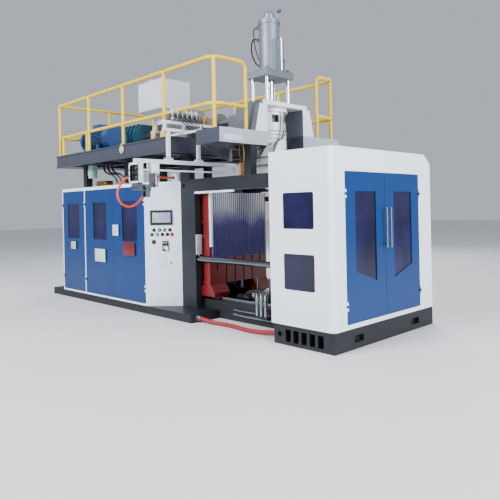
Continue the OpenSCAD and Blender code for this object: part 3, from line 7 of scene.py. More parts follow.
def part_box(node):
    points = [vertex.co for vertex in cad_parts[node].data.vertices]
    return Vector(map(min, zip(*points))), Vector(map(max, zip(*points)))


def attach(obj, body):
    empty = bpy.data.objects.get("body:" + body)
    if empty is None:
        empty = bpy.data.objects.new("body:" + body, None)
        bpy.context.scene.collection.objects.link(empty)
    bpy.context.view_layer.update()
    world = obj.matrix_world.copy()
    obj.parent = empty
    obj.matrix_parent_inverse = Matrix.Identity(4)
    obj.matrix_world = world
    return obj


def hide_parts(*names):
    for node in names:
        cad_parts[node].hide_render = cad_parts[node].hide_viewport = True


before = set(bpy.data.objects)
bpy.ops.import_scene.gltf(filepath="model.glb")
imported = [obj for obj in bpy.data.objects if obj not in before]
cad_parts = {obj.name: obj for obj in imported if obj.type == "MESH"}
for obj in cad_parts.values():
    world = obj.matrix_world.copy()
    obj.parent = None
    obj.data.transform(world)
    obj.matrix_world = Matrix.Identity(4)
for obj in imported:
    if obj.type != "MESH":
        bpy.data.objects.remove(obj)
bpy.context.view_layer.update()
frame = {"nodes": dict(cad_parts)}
nodes = frame["nodes"]
print("frame loaded", len(nodes), "nodes")

# camera: stands to the right of the machine and looks along its front
cameraSet = {
    "place": (5.496, -5.754, 1.60),
    "look": (-0.7206, 0.6934, 0.0),
    "roll": 1.2,           # degrees, clockwise
    "lens": 39.3,
    "shiftUp": -0.084,
}


def setCamera():
    data = bpy.data.cameras.new("photoCamera")
    data.lens = cameraSet["lens"]
    data.sensor_width = 36
    data.shift_y = cameraSet["shiftUp"]
    data.clip_end = 200
    camera = bpy.data.objects.new("photoCamera", data)
    bpy.context.scene.collection.objects.link(camera)
    camera.location = cameraSet["place"]
    camera.rotation_mode = "QUATERNION"
    turn = Vector(cameraSet["look"]).to_track_quat("-Z", "Y")
    camera.rotation_quaternion = turn @ Quaternion((0, 0, 1), -math.radians(cameraSet["roll"]))
    bpy.context.scene.camera = camera


setCamera()
print("camera set")

# hoses: the same routes as the solids that they stand for
hoseSet = {
    "armHose": {
        "node": "arm_hose", "thick": 0.032, "body": "machine", "slot": "orange_rubber", "lay": "hanging",
        "route": [(-0.74, -1.91, 2.04), (-0.8, -1.91, 2.04), (-0.885, -1.92, 2.02), (-0.945, -1.94, 1.96),
                  (-0.97, -1.97, 1.88), (-0.97, -1.98, 1.815), (-0.97, -1.965, 1.755),
                  (-0.97, -1.925, 1.7), (-0.97, -1.87, 1.665), (-0.97, -1.81, 1.65),
                  (-0.975, -1.73, 1.665), (-0.995, -1.65, 1.705), (-1.025, -1.575, 1.76),
                  (-1.065, -1.495, 1.825), (-1.11, -1.415, 1.895), (-1.155, -1.34, 1.965),
                  (-1.205, -1.26, 2.025), (-1.25, -1.18, 2.07), (-1.295, -1.105, 2.09),
                  (-1.335, -1.025, 2.09), (-1.365, -0.945, 2.09), (-1.385, -0.87, 2.09),
                  (-1.39, -0.79, 2.09), (-1.39, -0.74, 2.09)],
    },
    "floorHose": {
        "node": "floor_hose", "thick": 0.056, "body": "machine", "slot": "red_rubber", "lay": "loose",
        "route": [(-0.6, -0.96, 0.066), (-0.56, -0.96, 0.066), (-0.5, -0.956, 0.062),
                  (-0.42, -0.946, 0.05), (-0.33, -0.93, 0.036), (-0.24, -0.912, 0.029),
                  (-0.14, -0.898, 0.029), (-0.04, -0.892, 0.029), (0.06, -0.896, 0.029),
                  (0.16, -0.908, 0.029), (0.26, -0.922, 0.029), (0.36, -0.93, 0.029),
                  (0.46, -0.926, 0.029), (0.56, -0.914, 0.03), (0.66, -0.902, 0.036),
                  (0.76, -0.894, 0.05), (0.85, -0.89, 0.063), (0.93, -0.89, 0.07), (1.01, -0.89, 0.07)],
    },
}


def makeHose(name):
    sizes = hoseSet[name]
    data = bpy.data.curves.new(name, "CURVE")
    data.dimensions = "3D"
    data.bevel_depth = sizes["thick"] / 2
    data.bevel_resolution = 4
    data.use_fill_caps = True
    line = data.splines.new("POLY")
    line.points.add(len(sizes["route"]) - 1)
    for point, place in zip(line.points, sizes["route"]):
        point.co = (*place, 1)
    hose = bpy.data.objects.new(name, data)
    bpy.context.scene.collection.objects.link(hose)
    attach(hose, sizes["body"])
    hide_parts(sizes["node"])
    return hose


hoses = {name: makeHose(name) for name in hoseSet}
print("hoses laid")


# shader sums written as plain expressions
class Shade:
    def __init__(self, tree, socket=None):
        self.tree = tree
        self.socket = socket

    def node(self, kind, settings=None, values=None, out=0):
        made = self.tree.nodes.new(kind)
        for key, value in (settings or {}).items():
            if key == "stops":
                ramp = made.color_ramp.elements
                while len(ramp) < len(value):
                    ramp.new(0.5)
                for stop, (at, colour) in zip(ramp, value):
                    stop.position = at
                    stop.color = (*colour, 1) if len(colour) == 3 else colour
            else:
                setattr(made, key, value)
        for key, value in (values or {}).items():
            if isinstance(value, Shade):
                self.tree.links.new(value.socket, made.inputs[key])
            else:
                made.inputs[key].default_value = value
        return Shade(self.tree, made.outputs[out] if len(made.outputs) else None)

    def maths(self, operation, first, second=0.0):
        return self.node("ShaderNodeMath", {"operation": operation}, {0: first, 1: second})

    def __add__(self, other):
        return self.maths("ADD", self, other)

    def __radd__(self, other):
        return self.maths("ADD", other, self)

    def __sub__(self, other):
        return self.maths("SUBTRACT", self, other)

    def __rsub__(self, other):
        return self.maths("SUBTRACT", other, self)

    def __mul__(self, other):
        return self.maths("MULTIPLY", self, other)

    def __rmul__(self, other):
        return self.maths("MULTIPLY", other, self)

    def __truediv__(self, other):
        return self.maths("DIVIDE", self, other)

    def __rtruediv__(self, other):
        return self.maths("DIVIDE", other, self)

    def clamped(self):
        return self.node("ShaderNodeClamp", {}, {0: self, 1: 0.0, 2: 1.0})


toneDepth = 1.28           # the soft view curve lifts dark tones, so they are mixed deeper


def linear(rgb):
    return [(((c / 255 + 0.055) / 1.055) ** 2.4 if c > 10 else c / 255 / 12.92) ** toneDepth for c in rgb]


def tint(rgb):
    return (*linear(rgb), 1)


def startFinish(name="finish"):
    material = bpy.data.materials.new(name)
    material.use_nodes = True
    material.node_tree.nodes.clear()
    return material, Shade(material.node_tree)


def endFinish(material, shade, values, bump=None):
    if bump is not None:
        height, strength, reach = bump
        sockets = {"Strength": strength, "Distance": reach, "Height": height}
        values["Normal"] = shade.node("ShaderNodeBump", {}, sockets)
    surface = shade.node("ShaderNodeBsdfPrincipled", {}, values)
    shade.node("ShaderNodeOutputMaterial", {}, {"Surface": surface})
    return material


def blotch(shade, where, scale, detail=4.0, rough=0.55):
    sockets = {"Vector": where, "Scale": scale, "Detail": detail, "Roughness": rough}
    return shade.node("ShaderNodeTexNoise", {}, sockets)


def mixColour(shade, share, first, second):
    return shade.node("ShaderNodeMix", {"data_type": "RGBA"}, {0: share, 6: first, 7: second}, out=2)


def place(shade):
    return shade.node("ShaderNodeTexCoord", out=3)


def stretched(shade, where, scale):
    return shade.node("ShaderNodeMapping", {}, {"Vector": where, "Scale": scale})


# paint on sheet metal: faint orange peel, cloudy dulling and dust that gathers low down
def sheetPaint(rgb, rough=0.38, dust=0.10, peel=0.12, dustTop=0.5, coat=0.04, dirt=(92, 88, 84)):
    material, shade = startFinish()
    where = place(shade)
    height = shade.node("ShaderNodeSeparateXYZ", {}, {0: where}, out=2)
    cloud = blotch(shade, where, 2.3)
    fine = blotch(shade, where, 38.0, 6.0, 0.7)
    low = (1 - height / dustTop).clamped()
    grime = ((fine - 0.35) * 1.6).clamped() * (dust * 0.5 + low * dust * 2) + (cloud - 0.5) * dust * 0.4
    colour = mixColour(shade, grime.clamped(), tint(rgb), tint(dirt))
    grain = blotch(shade, where, 420.0, 2.0)
    return endFinish(material, shade, {
        "Base Color": colour,
        "Roughness": (cloud - 0.5) * 0.16 + rough + low * 0.12,
        "Specular IOR Level": 0.32,
        "Coat Weight": coat,
        "Coat Roughness": 0.2,
    }, (grain, peel, 0.002))


# enamel on castings: coarse skin under a thick glossy coat, dark in its pores
def castEnamel(rgb, dark, rough=0.36, skin=0.45, oil=0.25):
    material, shade = startFinish()
    where = place(shade)
    skinPattern = blotch(shade, where, 90.0, 5.0, 0.6)
    patch = blotch(shade, where, 4.2, 5.0, 0.6)
    stain = ((patch - 0.48) * 3.2).clamped() * oil + ((0.42 - skinPattern) * 4).clamped() * 0.25
    return endFinish(material, shade, {
        "Base Color": mixColour(shade, stain.clamped(), tint(rgb), tint(dark)),
        "Roughness": (patch - 0.5) * 0.3 + rough,
        "Coat Weight": 0.25,
        "Coat Roughness": 0.15,
    }, (skinPattern, skin, 0.004))


# bare steel with the lines of its machining along one axis
def cutSteel(rgb, rough=0.3, lines=(6, 6, 420), metal=1.0, oil=0.2, bump=0.25):
    material, shade = startFinish()
    where = place(shade)
    streak = blotch(shade, stretched(shade, where, lines), 1.0, 4.0, 0.6)
    patch = blotch(shade, where, 5.0, 5.0, 0.6)
    film = ((patch - 0.45) * 2.4).clamped() * oil
    darker = [c * 0.55 for c in rgb]
    shadeShare = (film + (streak - 0.5) * 0.22 + 0.1).clamped()
    return endFinish(material, shade, {
        "Base Color": mixColour(shade, shadeShare, tint(rgb), tint(darker)),
        "Metallic": metal,
        "Roughness": (streak - 0.5) * 0.25 + (patch - 0.5) * 0.15 + rough,
    }, (streak, bump, 0.0008))


def plastic(rgb, rough=0.45, grainScale=700.0, grain=0.1, worn=0.12):
    material, shade = startFinish()
    where = place(shade)
    patch = blotch(shade, where, 14.0, 4.0, 0.6)
    pale = [min(255, c * 0.8 + 60) for c in rgb]
    return endFinish(material, shade, {
        "Base Color": mixColour(shade, ((patch - 0.5) * 2).clamped() * worn, tint(rgb), tint(pale)),
        "Roughness": (patch - 0.5) * 0.2 + rough,
    }, (blotch(shade, where, grainScale, 2.0), grain, 0.0006))


# tinted acrylic: dark, glossy, slightly wavy, with a painted violet glow in blotches
def tintedPane(rgb, clear=0.05):
    material, shade = startFinish()
    where = place(shade)
    wave = blotch(shade, where, 3.0, 1.0)
    smear = blotch(shade, stretched(shade, where, (3, 3, 9)), 2.0, 6.0, 0.7)
    # blotches of painted violet glow over the dark tint
    cast = blotch(shade, stretched(shade, where, (1.6, 1.6, 1.0)), 1.3, 3.0)
    glow = ((cast - 0.44) * 3.4).clamped()
    violet = mixColour(shade, glow, tint(rgb), tint((60, 52, 118)))
    return endFinish(material, shade, {
        "Base Color": mixColour(shade, smear * 0.5, violet, tint((44, 46, 70))),
        "Roughness": (smear - 0.4).clamped() * 0.22 + 0.05,
        "Specular IOR Level": 0.42,
        "Alpha": 1 - clear,
    }, (wave, 0.08, 0.01))


# ribbed grey sheet that takes a violet cast from the lit clamp, stronger lower down
def curtainSheet(rgb, glow):
    material, shade = startFinish()
    where = place(shade)
    height = shade.node("ShaderNodeSeparateXYZ", {}, {0: where}, out=2)
    cloud = blotch(shade, where, 2.6, 3.0)
    share = ((1.60 - height) * 4.0 + (cloud - 0.5) * 2.4).clamped() * 0.9
    return endFinish(material, shade, {
        "Base Color": mixColour(shade, share, tint(rgb), tint(glow)),
        "Roughness": (cloud - 0.5) * 0.3 + 0.42,
    }, (blotch(shade, where, 60.0, 2.0), 0.08, 0.001))


# rubber with a fine grain and a dusty bloom
def hoseRubber(rgb, rough=0.5):
    material, shade = startFinish()
    where = place(shade)
    patch = blotch(shade, where, 30.0, 5.0, 0.65)
    dusty = [min(255, c * 0.75 + 48) for c in rgb]
    return endFinish(material, shade, {
        "Base Color": mixColour(shade, ((patch - 0.45) * 2).clamped() * 0.35, tint(rgb), tint(dusty)),
        "Roughness": (patch - 0.5) * 0.25 + rough,
    }, (blotch(shade, where, 260.0, 3.0), 0.2, 0.001))


# lit display with faint rows of fields
def screenGlass(rgb, pale):
    material, shade = startFinish()
    where = place(shade)
    rows = blotch(shade, stretched(shade, where, (16, 16, 90)), 1.0, 2.0)
    share = ((rows - 0.42) * 4).clamped()
    colour = mixColour(shade, share, tint(rgb), tint(pale))
    return endFinish(material, shade, {"Base Color": colour, "Roughness": (rows - 0.5) * 0.1 + 0.22,
                                       "Emission Color": colour, "Emission Strength": 0.25})


finishes = {
    "whitePaint": sheetPaint((238, 245, 254), rough=0.32, dust=0.07),
    "panelPaint": sheetPaint((226, 235, 246), rough=0.34, dust=0.07),
    "bluePaint": sheetPaint((2, 74, 130), rough=0.34, dust=0.05, coat=0.1),
    "basePaint": sheetPaint((42, 44, 54), rough=0.5, dust=0.30, dustTop=0.12),
    "bedPaint": sheetPaint((46, 49, 58), rough=0.5, dust=0.25),
    "framePaint": sheetPaint((50, 56, 64), rough=0.42, dust=0.14, dustTop=0.8),
    "greyPaint": sheetPaint((94, 104, 112), rough=0.45, dust=0.2, dustTop=1.2),
    # deck paint, which also stands as painted shade on the carrier's faces away from +X; next, the carrier's
    # pale painted lit face
    "deckPaintAndShade": sheetPaint((80, 84, 97), rough=0.45, dust=0.12, dustTop=0.2),
    "carrierLitFace": sheetPaint((186, 189, 202), rough=0.4, dust=0.14, dustTop=0.2),
    # slate: painted shade on the portal's faces towards -Y, also used on the head's drum
    "slatePaintAndShade": sheetPaint((112, 118, 130), rough=0.4, dust=0.12, dustTop=0.2),
    "portalPaint": sheetPaint((232, 236, 246), rough=0.38, dust=0.10, dustTop=0.2),
    "yellowPaint": sheetPaint((232, 204, 4), rough=0.36, dust=0.06, dustTop=0.2, coat=0.1),
    "armPaint": sheetPaint((222, 226, 233), rough=0.36, dust=0.12, dustTop=0.2),
    "motorPaint": sheetPaint((52, 92, 140), rough=0.4, dust=0.16, dustTop=0.2),
    "guardPaint": sheetPaint((58, 110, 168), rough=0.36, dust=0.12, dustTop=0.2),
    "redEnamel": castEnamel((138, 31, 34), (70, 18, 22)),
    "gearboxEnamel": castEnamel((47, 95, 115), (22, 48, 62)),
    "cylinderEnamel": castEnamel((111, 122, 128), (62, 68, 72), skin=0.2),
    "railSteel": cutSteel((186, 190, 196), rough=0.28, lines=(420, 6, 6)),
    "barSteel": cutSteel((150, 156, 162), rough=0.2, lines=(60, 6, 6), oil=0.3),
    "rodChrome": cutSteel((206, 210, 214), rough=0.12, lines=(4, 4, 4), oil=0.1, bump=0.05),
    "gearSteel": cutSteel((150, 156, 160), rough=0.4, lines=(6, 6, 90), oil=0.4),
    "headSteel": cutSteel((250, 252, 254), rough=0.4, lines=(4, 4, 260), metal=0.05, oil=0.06),
    "cylinderSteel": cutSteel((146, 154, 162), rough=0.5, lines=(4, 4, 120), metal=0.6, oil=0.3),
    "barrelSteel": cutSteel((140, 145, 150), rough=0.42, lines=(160, 4, 4), oil=0.5),
    "adapterSteel": cutSteel((180, 184, 188), rough=0.36, lines=(120, 6, 6), oil=0.35),
    "bandSteel": cutSteel((98, 100, 104), rough=0.5, lines=(5, 5, 60), oil=0.5),
    "coverSteel": cutSteel((206, 210, 214), rough=0.34, lines=(4, 4, 60), oil=0.12, bump=0.1),
    "hopperSteel": cutSteel((240, 243, 250), rough=0.4, lines=(3, 3, 80), metal=0.3, oil=0.08, bump=0.1),
    "valveSteel": cutSteel((130, 138, 140), rough=0.42, lines=(40, 40, 40), oil=0.5),
    "columnSteel": cutSteel((222, 225, 228), rough=0.2, lines=(4, 4, 60), oil=0.08),
    "guardSheet": curtainSheet((158, 162, 176), (98, 92, 156)),
    # paler copy of the curtain sheet: painted highlight on the ribs' outer faces
    "ribHighlightSheet": curtainSheet((222, 226, 232), (92, 86, 156)),
    "lilacPaint": sheetPaint((196, 190, 216), rough=0.4, dust=0.1, dustTop=0.2),
    "shadowRed": castEnamel((62, 20, 26), (28, 18, 22)),
    "whitePlastic": plastic((238, 241, 245), rough=0.4),
    "blackPlastic": plastic((40, 43, 48), rough=0.4),
    "redPlastic": plastic((200, 44, 44), rough=0.3),
    "greenPlastic": plastic((58, 140, 74), rough=0.3),
    "greyPlastic": plastic((198, 202, 206), rough=0.35),
    "beigePlastic": plastic((205, 196, 176), rough=0.45),
    "amberPlastic": plastic((176, 132, 62), rough=0.35),
    "palePlate": plastic((214, 220, 222), rough=0.35),
    "darkRedPlate": plastic((122, 34, 42), rough=0.35),
    "mintPaint": sheetPaint((168, 204, 190), rough=0.4, dust=0.12, dustTop=0.2),
    "brassFitting": cutSteel((178, 146, 92), rough=0.32, lines=(60, 60, 60), oil=0.4),
    "nutSteel": cutSteel((150, 154, 158), rough=0.35, lines=(40, 40, 40), oil=0.35),
    "blackRubber": hoseRubber((34, 36, 40)),
    "whiteRubber": hoseRubber((214, 216, 220)),
    "screenMint": screenGlass((148, 168, 162), (196, 206, 204)),
    "screenLilac": screenGlass((150, 152, 196), (172, 174, 208)),
    "pane": tintedPane((34, 34, 66)),
    "orangeRubber": hoseRubber((217, 92, 56)),
    "redRubber": hoseRubber((168, 50, 60)),
}
for name, material in finishes.items():
    material.name = name
print("finishes mixed", len(finishes))

nodeFinish = {
    "basePaint": "base_left base_right",
    "bedPaint": "clamp_bed",
    "railSteel": "linear_rails blow_pins",
    "framePaint": "frame_columns frame_beams",
    "whitePaint": "cabinet_shell housing_shell",
    "bluePaint": "cabinet_door_1 cabinet_door_2 cabinet_door_3 housing_door_near housing_door_far",
    "pane": "cabinet_window_1 cabinet_window_2 cabinet_window_3 housing_windows housing_pane_near "
            "housing_pane_far",
    "greyPaint": "hydraulic_unit",
    "panelPaint": "panel_casing",
    "blackPlastic": "panel_fittings selector_switch",
    "greenPlastic": "push_button_1",
    "greyPlastic": "push_button_2",
    "redPlastic": "emergency_stop",
    "redEnamel": "left_platen right_platen end_plate",
    "barSteel": "tie_bars",
    "cylinderEnamel": "clamp_cylinder",
    "rodChrome": "clamp_rod push_rod mandrel",
    "gearSteel": "left_rack right_rack sync_pinion extruder_screw",
    "guardSheet": "guard_sheet",
    "valveSteel": "blow_unit",
    "deckPaintAndShade": "platform_deck",
    "yellowPaint": "handrail_posts handrails",
    "portalPaint": "portal",
    "columnSteel": "head_columns",
    "cylinderSteel": "push_cylinder",
    "headSteel": "head_body",
    "bandSteel": "heater_bands",
    "barrelSteel": "extruder_barrel",
    "coverSteel": "barrel_cover",
    "adapterSteel": "melt_adapter",
    "gearboxEnamel": "gearbox",
    "motorPaint": "main_motor",
    "hopperSteel": "hopper hopper_lid",
    "armPaint": "takeout_arm takeout_gripper",
}


def dressNodes():
    for finish, names in nodeFinish.items():
        for name in names.split():
            mesh = nodes[name].data
            mesh.materials.clear()
            mesh.materials.append(finishes[finish])
            for face in mesh.polygons:
                face.material_index = 0


# gives the faces of a node that pass the test on centre and normal a second finish
def dressPart(name, finish, test):
    mesh = nodes[name].data
    mesh.materials.append(finishes[finish])
    index = len(mesh.materials) - 1
    for face in mesh.polygons:
        if test(face.center, face.normal):
            face.material_index = index


# where the second finishes of a node begin and end, in metres
splitSet = {
    "litCarrierFrom": -0.19,
    "beltGuardTo": -3.9502,
    "platenShade": {"under": 0.90, "to": 0.86},
    "gateRail": {"front": -0.6705, "under": 1.8605, "from": -0.95},
    "ribHighlightFrom": -0.725,
    "guardEdge": -0.5605,
    "grips": {"front": 1.9, "housing_door_near": -0.093, "housing_door_far": -0.003, "reach": 0.02},
    "armFrame": {"x": (-0.739, -0.491), "y": (-1.935, -1.8805), "z": (1.956, 2.219)},
    "armSide": {"front": -1.939, "from": -0.516, "over": 1.955},
    "armFoot": 1.9549,
    "gripperJaws": 2.0845,
    "bedTop": 0.2505,
    "headNeck": {"z": (2.575, 2.695), "radius": 0.2125},
    "headDrum": {"z": (2.70, 2.955), "radius": 0.211},
    "bands": {"radius": 0.226, "perMetre": 40},
}


def between(value, limits):
    return limits[0] < value < limits[1]


def fromAxis(c):
    return math.hypot(c.x, c.y)


def dressParts():
    sizes = splitSet
    shade, rail, grips, bands = (sizes[key] for key in ("platenShade", "gateRail", "grips", "bands"))
    frame, side, neck, drum = (sizes[key] for key in ("armFrame", "armSide", "headNeck", "headDrum"))
    # the carrier's +X faces get a painted lit pale, and its other faces keep the dark deck paint as painted
    # shade
    dressPart("platform_deck", "carrierLitFace", lambda c, n: c.x > sizes["litCarrierFrom"] and n.x > 0.5)
    # the portal's faces that look towards -Y get painted shade in slate
    dressPart("portal", "slatePaintAndShade", lambda c, n: n.y < -0.5)
    dressPart("gearbox", "guardPaint", lambda c, n: c.x < sizes["beltGuardTo"])
    dressPart("right_platen", "shadowRed", lambda c, n: c.z < shade["under"] and c.x < shade["to"])
    dressPart("frame_beams", "whitePlastic",
              lambda c, n: c.y < rail["front"] and c.z < rail["under"] and c.x > rail["from"])
    # the ribs' outer faces get a paler copy of the sheet as painted highlight
    dressPart("guard_sheet", "ribHighlightSheet", lambda c, n: n.x > 0.9 and c.x > sizes["ribHighlightFrom"])
    dressPart("guard_sheet", "whitePlastic", lambda c, n: c.y < sizes["guardEdge"])
    for door in ("housing_door_near", "housing_door_far"):
        dressPart(door, "railSteel",
                  lambda c, n: c.x > grips["front"] and abs(c.y - grips[door]) < grips["reach"])
    dressPart("takeout_arm", "blackPlastic",
              lambda c, n: between(c.x, frame["x"]) and between(c.y, frame["y"]) and between(c.z, frame["z"]))
    dressPart("takeout_arm", "lilacPaint",
              lambda c, n: c.y < side["front"] and c.x > side["from"] and c.z > side["over"])
    dressPart("takeout_arm", "greyPaint", lambda c, n: c.z < sizes["armFoot"])
    dressPart("takeout_gripper", "railSteel", lambda c, n: c.z < sizes["gripperJaws"])
    dressPart("clamp_bed", "gearSteel", lambda c, n: c.z > sizes["bedTop"])
    dressPart("head_body", "blackPlastic",
              lambda c, n: between(c.z, neck["z"]) and fromAxis(c) < neck["radius"] and n.z ** 2 < 0.5)
    dressPart("head_body", "slatePaintAndShade",
              lambda c, n: between(c.z, drum["z"]) and fromAxis(c) < drum["radius"] and abs(n.z) < 0.99)
    reach, pitch = bands["radius"], bands["perMetre"]
    dressPart("heater_bands", "headSteel",
              lambda c, n: abs(n.z) < 0.1 and fromAxis(c) < reach and (c.z * pitch) % 2 > 1)


dressNodes()
dressParts()
hoses["armHose"].data.materials.append(finishes["orangeRubber"])
hoses["floorHose"].data.materials.append(finishes["redRubber"])
print("nodes dressed")


# modelling helpers: every piece starts as a primitive and is shaped in edit mode
def clearPick():
    active = bpy.context.view_layer.objects.active
    if active and active.mode != "OBJECT":
        bpy.ops.object.mode_set(mode="OBJECT")
    bpy.ops.object.select_all(action="DESELECT")


def pickOnly(piece):
    clearPick()
    piece.select_set(True)
    bpy.context.view_layer.objects.active = piece


def settle(piece, spot=(0, 0, 0), turn=(0, 0, 0)):
    piece.location = Vector(spot) + piece.location
    piece.rotation_euler = turn
    pickOnly(piece)
    bpy.ops.object.transform_apply(location=True, rotation=True, scale=True)
    return piece


def block(low, high, edge=0.003):
    clearPick()
    middle = [(a + b) / 2 for a, b in zip(low, high)]
    bpy.ops.mesh.primitive_cube_add(size=1, location=middle, scale=[b - a for a, b in zip(low, high)])
    piece = settle(bpy.context.object)
    bpy.ops.object.mode_set(mode="EDIT")
    bpy.ops.mesh.select_all(action="SELECT")
    bpy.ops.mesh.bevel(offset=edge, segments=2, affect="EDGES")
    bpy.ops.object.mode_set(mode="OBJECT")
    return piece


axisTurn = {"z": (0, 0, 0), "-z": (math.pi, 0, 0), "x": (0, math.pi / 2, 0), "-x": (0, -math.pi / 2, 0),
            "y": (-math.pi / 2, 0, 0), "-y": (math.pi / 2, 0, 0)}


# round piece drawn out ring by ring: pairs of distance along its axis and radius
def turned(rings, spot, axis="z", sides=24):
    clearPick()
    bpy.ops.mesh.primitive_circle_add(vertices=sides, radius=rings[0][1], fill_type="NGON")
    piece = bpy.context.object
    bpy.ops.object.mode_set(mode="EDIT")
    bpy.ops.mesh.select_all(action="SELECT")
    for (start, wide), (end, narrow) in zip(rings, rings[1:]):
        bpy.ops.mesh.extrude_region_move(TRANSFORM_OT_translate={"value": (0, 0, end - start)})
        if narrow != wide:
            bpy.ops.transform.resize(value=(narrow / wide, narrow / wide, 1),
                                     center_override=(0, 0, end - rings[0][0]))
    bpy.ops.mesh.select_all(action="SELECT")
    bpy.ops.mesh.normals_make_consistent(inside=False)
    bpy.ops.object.mode_set(mode="OBJECT")
    return settle(piece, spot, axisTurn[axis])


def rod(radius, length, spot, axis="z", sides=24, edge=0.002):
    rings = [(0, radius - edge), (edge, radius), (length - edge, radius), (length, radius - edge)]
    return turned(rings, spot, axis, sides)


def nut(radius, length, spot, axis="z"):
    return turned([(0, radius), (length * 0.85, radius), (length, radius * 0.86), (length, radius * 0.5),
                   (length * 1.5, radius * 0.5), (length * 1.6, radius * 0.42)], spot, axis, 6)


# pipe or clipped lead bent smoothly through a few points
def pipe(points, thick):
    data = bpy.data.curves.new("pipe", "CURVE")
    data.dimensions = "3D"
    data.bevel_depth = thick / 2
    data.bevel_resolution = 2
    data.resolution_u = 8
    data.use_fill_caps = True
    line = data.splines.new("BEZIER")
    line.bezier_points.add(len(points) - 1)
    for point, spot in zip(line.bezier_points, points):
        point.co = spot
        point.handle_left_type = point.handle_right_type = "AUTO"
    piece = bpy.data.objects.new("pipe", data)
    bpy.context.scene.collection.objects.link(piece)
    pickOnly(piece)
    bpy.ops.object.convert(target="MESH")
    return bpy.context.view_layer.objects.active


def gather(name, parts, finish, body="machine"):
    pickOnly(parts[0])
    for part in parts[1:]:
        part.select_set(True)
    if len(parts) > 1:
        bpy.ops.object.join()
    piece = bpy.context.view_layer.objects.active
    piece.name = piece.data.name = name
    piece.data.materials.clear()
    piece.data.materials.append(finishes[finish])
    for face in piece.data.polygons:
        face.material_index = 0
    bpy.ops.object.shade_smooth_by_angle(angle=math.radians(35))
    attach(piece, body)
    return piece


# operator panel: display, lamps, counter and louvre; its face turns from the front to the side
panelSet = {
    "corner": (-1.7, -1.08, 0.0),
    "angle": math.atan2(375, 420),
    "screen": {"left": 0.114, "split": 0.236, "gap": 0.002, "right": 0.396, "low": 1.404, "high": 1.558},
    "rows": [{"z": 1.29, "along": (0.135, 0.220, 0.300, 0.385)},
             {"z": 1.22, "along": (0.1, 0.185, 0.265, 0.345, 0.415)}],
    "lamps": ("blackPlastic", "palePlate", "palePlate"),
    "lens": [(0, 0.0098), (0.004, 0.0095), (0.007, 0.0075), (0.0085, 0.004)],
    "ring": [(0, 0.029), (0.002, 0.029), (0.0035, 0.027), (0.0035, 0.0165), (0.002, 0.0165)],
    "counter": {"label": (0.318, 0.354, 0.976, 1.03), "case": (0.280, 0.344, 0.994, 1.046)},
    "dials": {"along": (0.292, 0.330), "z": 1.095, "radius": 0.011},
    "louvres": {"left": 0.222, "right": 0.342, "z": (0.870, 0.832, 0.794, 0.756)},
    "lock": {"along": 0.395, "z": 0.78, "radius": 0.016},
}


def onPanel(piece):
    return settle(piece, panelSet["corner"], (0, 0, panelSet["angle"]))


# flat block on the panel, from behind its face to in front of it
def panelBlock(left, right, low, high, front, back, edge):
    return onPanel(block((left, front, low), (right, back, high), edge))


def dressPanel():
    screen, rows, dials = panelSet["screen"], panelSet["rows"], panelSet["dials"]
    louvres, lock, counter = panelSet["louvres"], panelSet["lock"], panelSet["counter"]
    halves = (("displayLeft", "screenMint", screen["left"], screen["split"] - screen["gap"]),
              ("displayRight", "screenLilac", screen["split"], screen["right"]))
    for name, finish, left, right in halves:
        glass = panelBlock(left, right, screen["low"], screen["high"], -0.0115, -0.0085, 0.001)
        gather(name, [glass], finish)
    for index, finish in enumerate(panelSet["lamps"]):
        lens = turned(panelSet["lens"], (rows[0]["along"][index], -0.0158, rows[0]["z"]), "-y")
        gather("lampLens%d" % index, [onPanel(lens)], finish)
    rings = [onPanel(turned(panelSet["ring"], (along, -0.0002, row["z"]), "-y", 28))
             for row in rows for along in row["along"]]
    gather("controlRings", rings, "blackPlastic")
    gather("counterLabel", [panelBlock(*counter["label"], -0.0245, -0.0215, 0.0008)],
           "whitePlastic")
    knobs = [onPanel(rod(dials["radius"], 0.008, (along, -0.0215, dials["z"]), "-y"))
             for along in dials["along"]]
    gather("counterDials", [panelBlock(*counter["case"], -0.0190, -0.0155, 0.001)] + knobs,
           "greyPlastic")
    slats = [panelBlock(louvres["left"], louvres["right"], z - 0.006, z + 0.003, -0.0045, 0.001, 0.0015)
             for z in louvres["z"]]
    gather("panelLouvres", slats, "greyPlastic")
    along, z = lock["along"], lock["z"]
    key = panelBlock(along - 0.009, along + 0.009, z - 0.004, z + 0.004, -0.018, -0.005, 0.002)
    gather("panelLock", [onPanel(rod(lock["radius"], 0.006, (along, 0.0005, z), "-y")), key],
           "nutSteel")


dressPanel()
print("panel dressed")

# blank plates on the cabinet doors and on the carrier
plateSet = {
    "doorPlateA": {"door": 1, "x": (-4.18, -3.99), "z": (0.91, 1.05), "finish": "beigePlastic"},
    "doorPlateB": {"door": 2, "x": (-3.27, -2.92), "z": (0.73, 0.95), "finish": "palePlate"},
    "doorPlateC": {"door": 3, "x": (-2.655, -2.475), "z": (1.19, 1.37), "finish": "palePlate"},
    "doorPlateD": {"door": 3, "x": (-2.33, -1.99), "z": (0.875, 1.09), "finish": "darkRedPlate"},
}
carrierPlateSet = {"x": (0.289, 0.2925), "y": (-1.17, -0.83), "z": (2.482, 2.552)}
rivetInset = 0.012


def insideOf(limits):
    return limits[0] + rivetInset, limits[1] - rivetInset


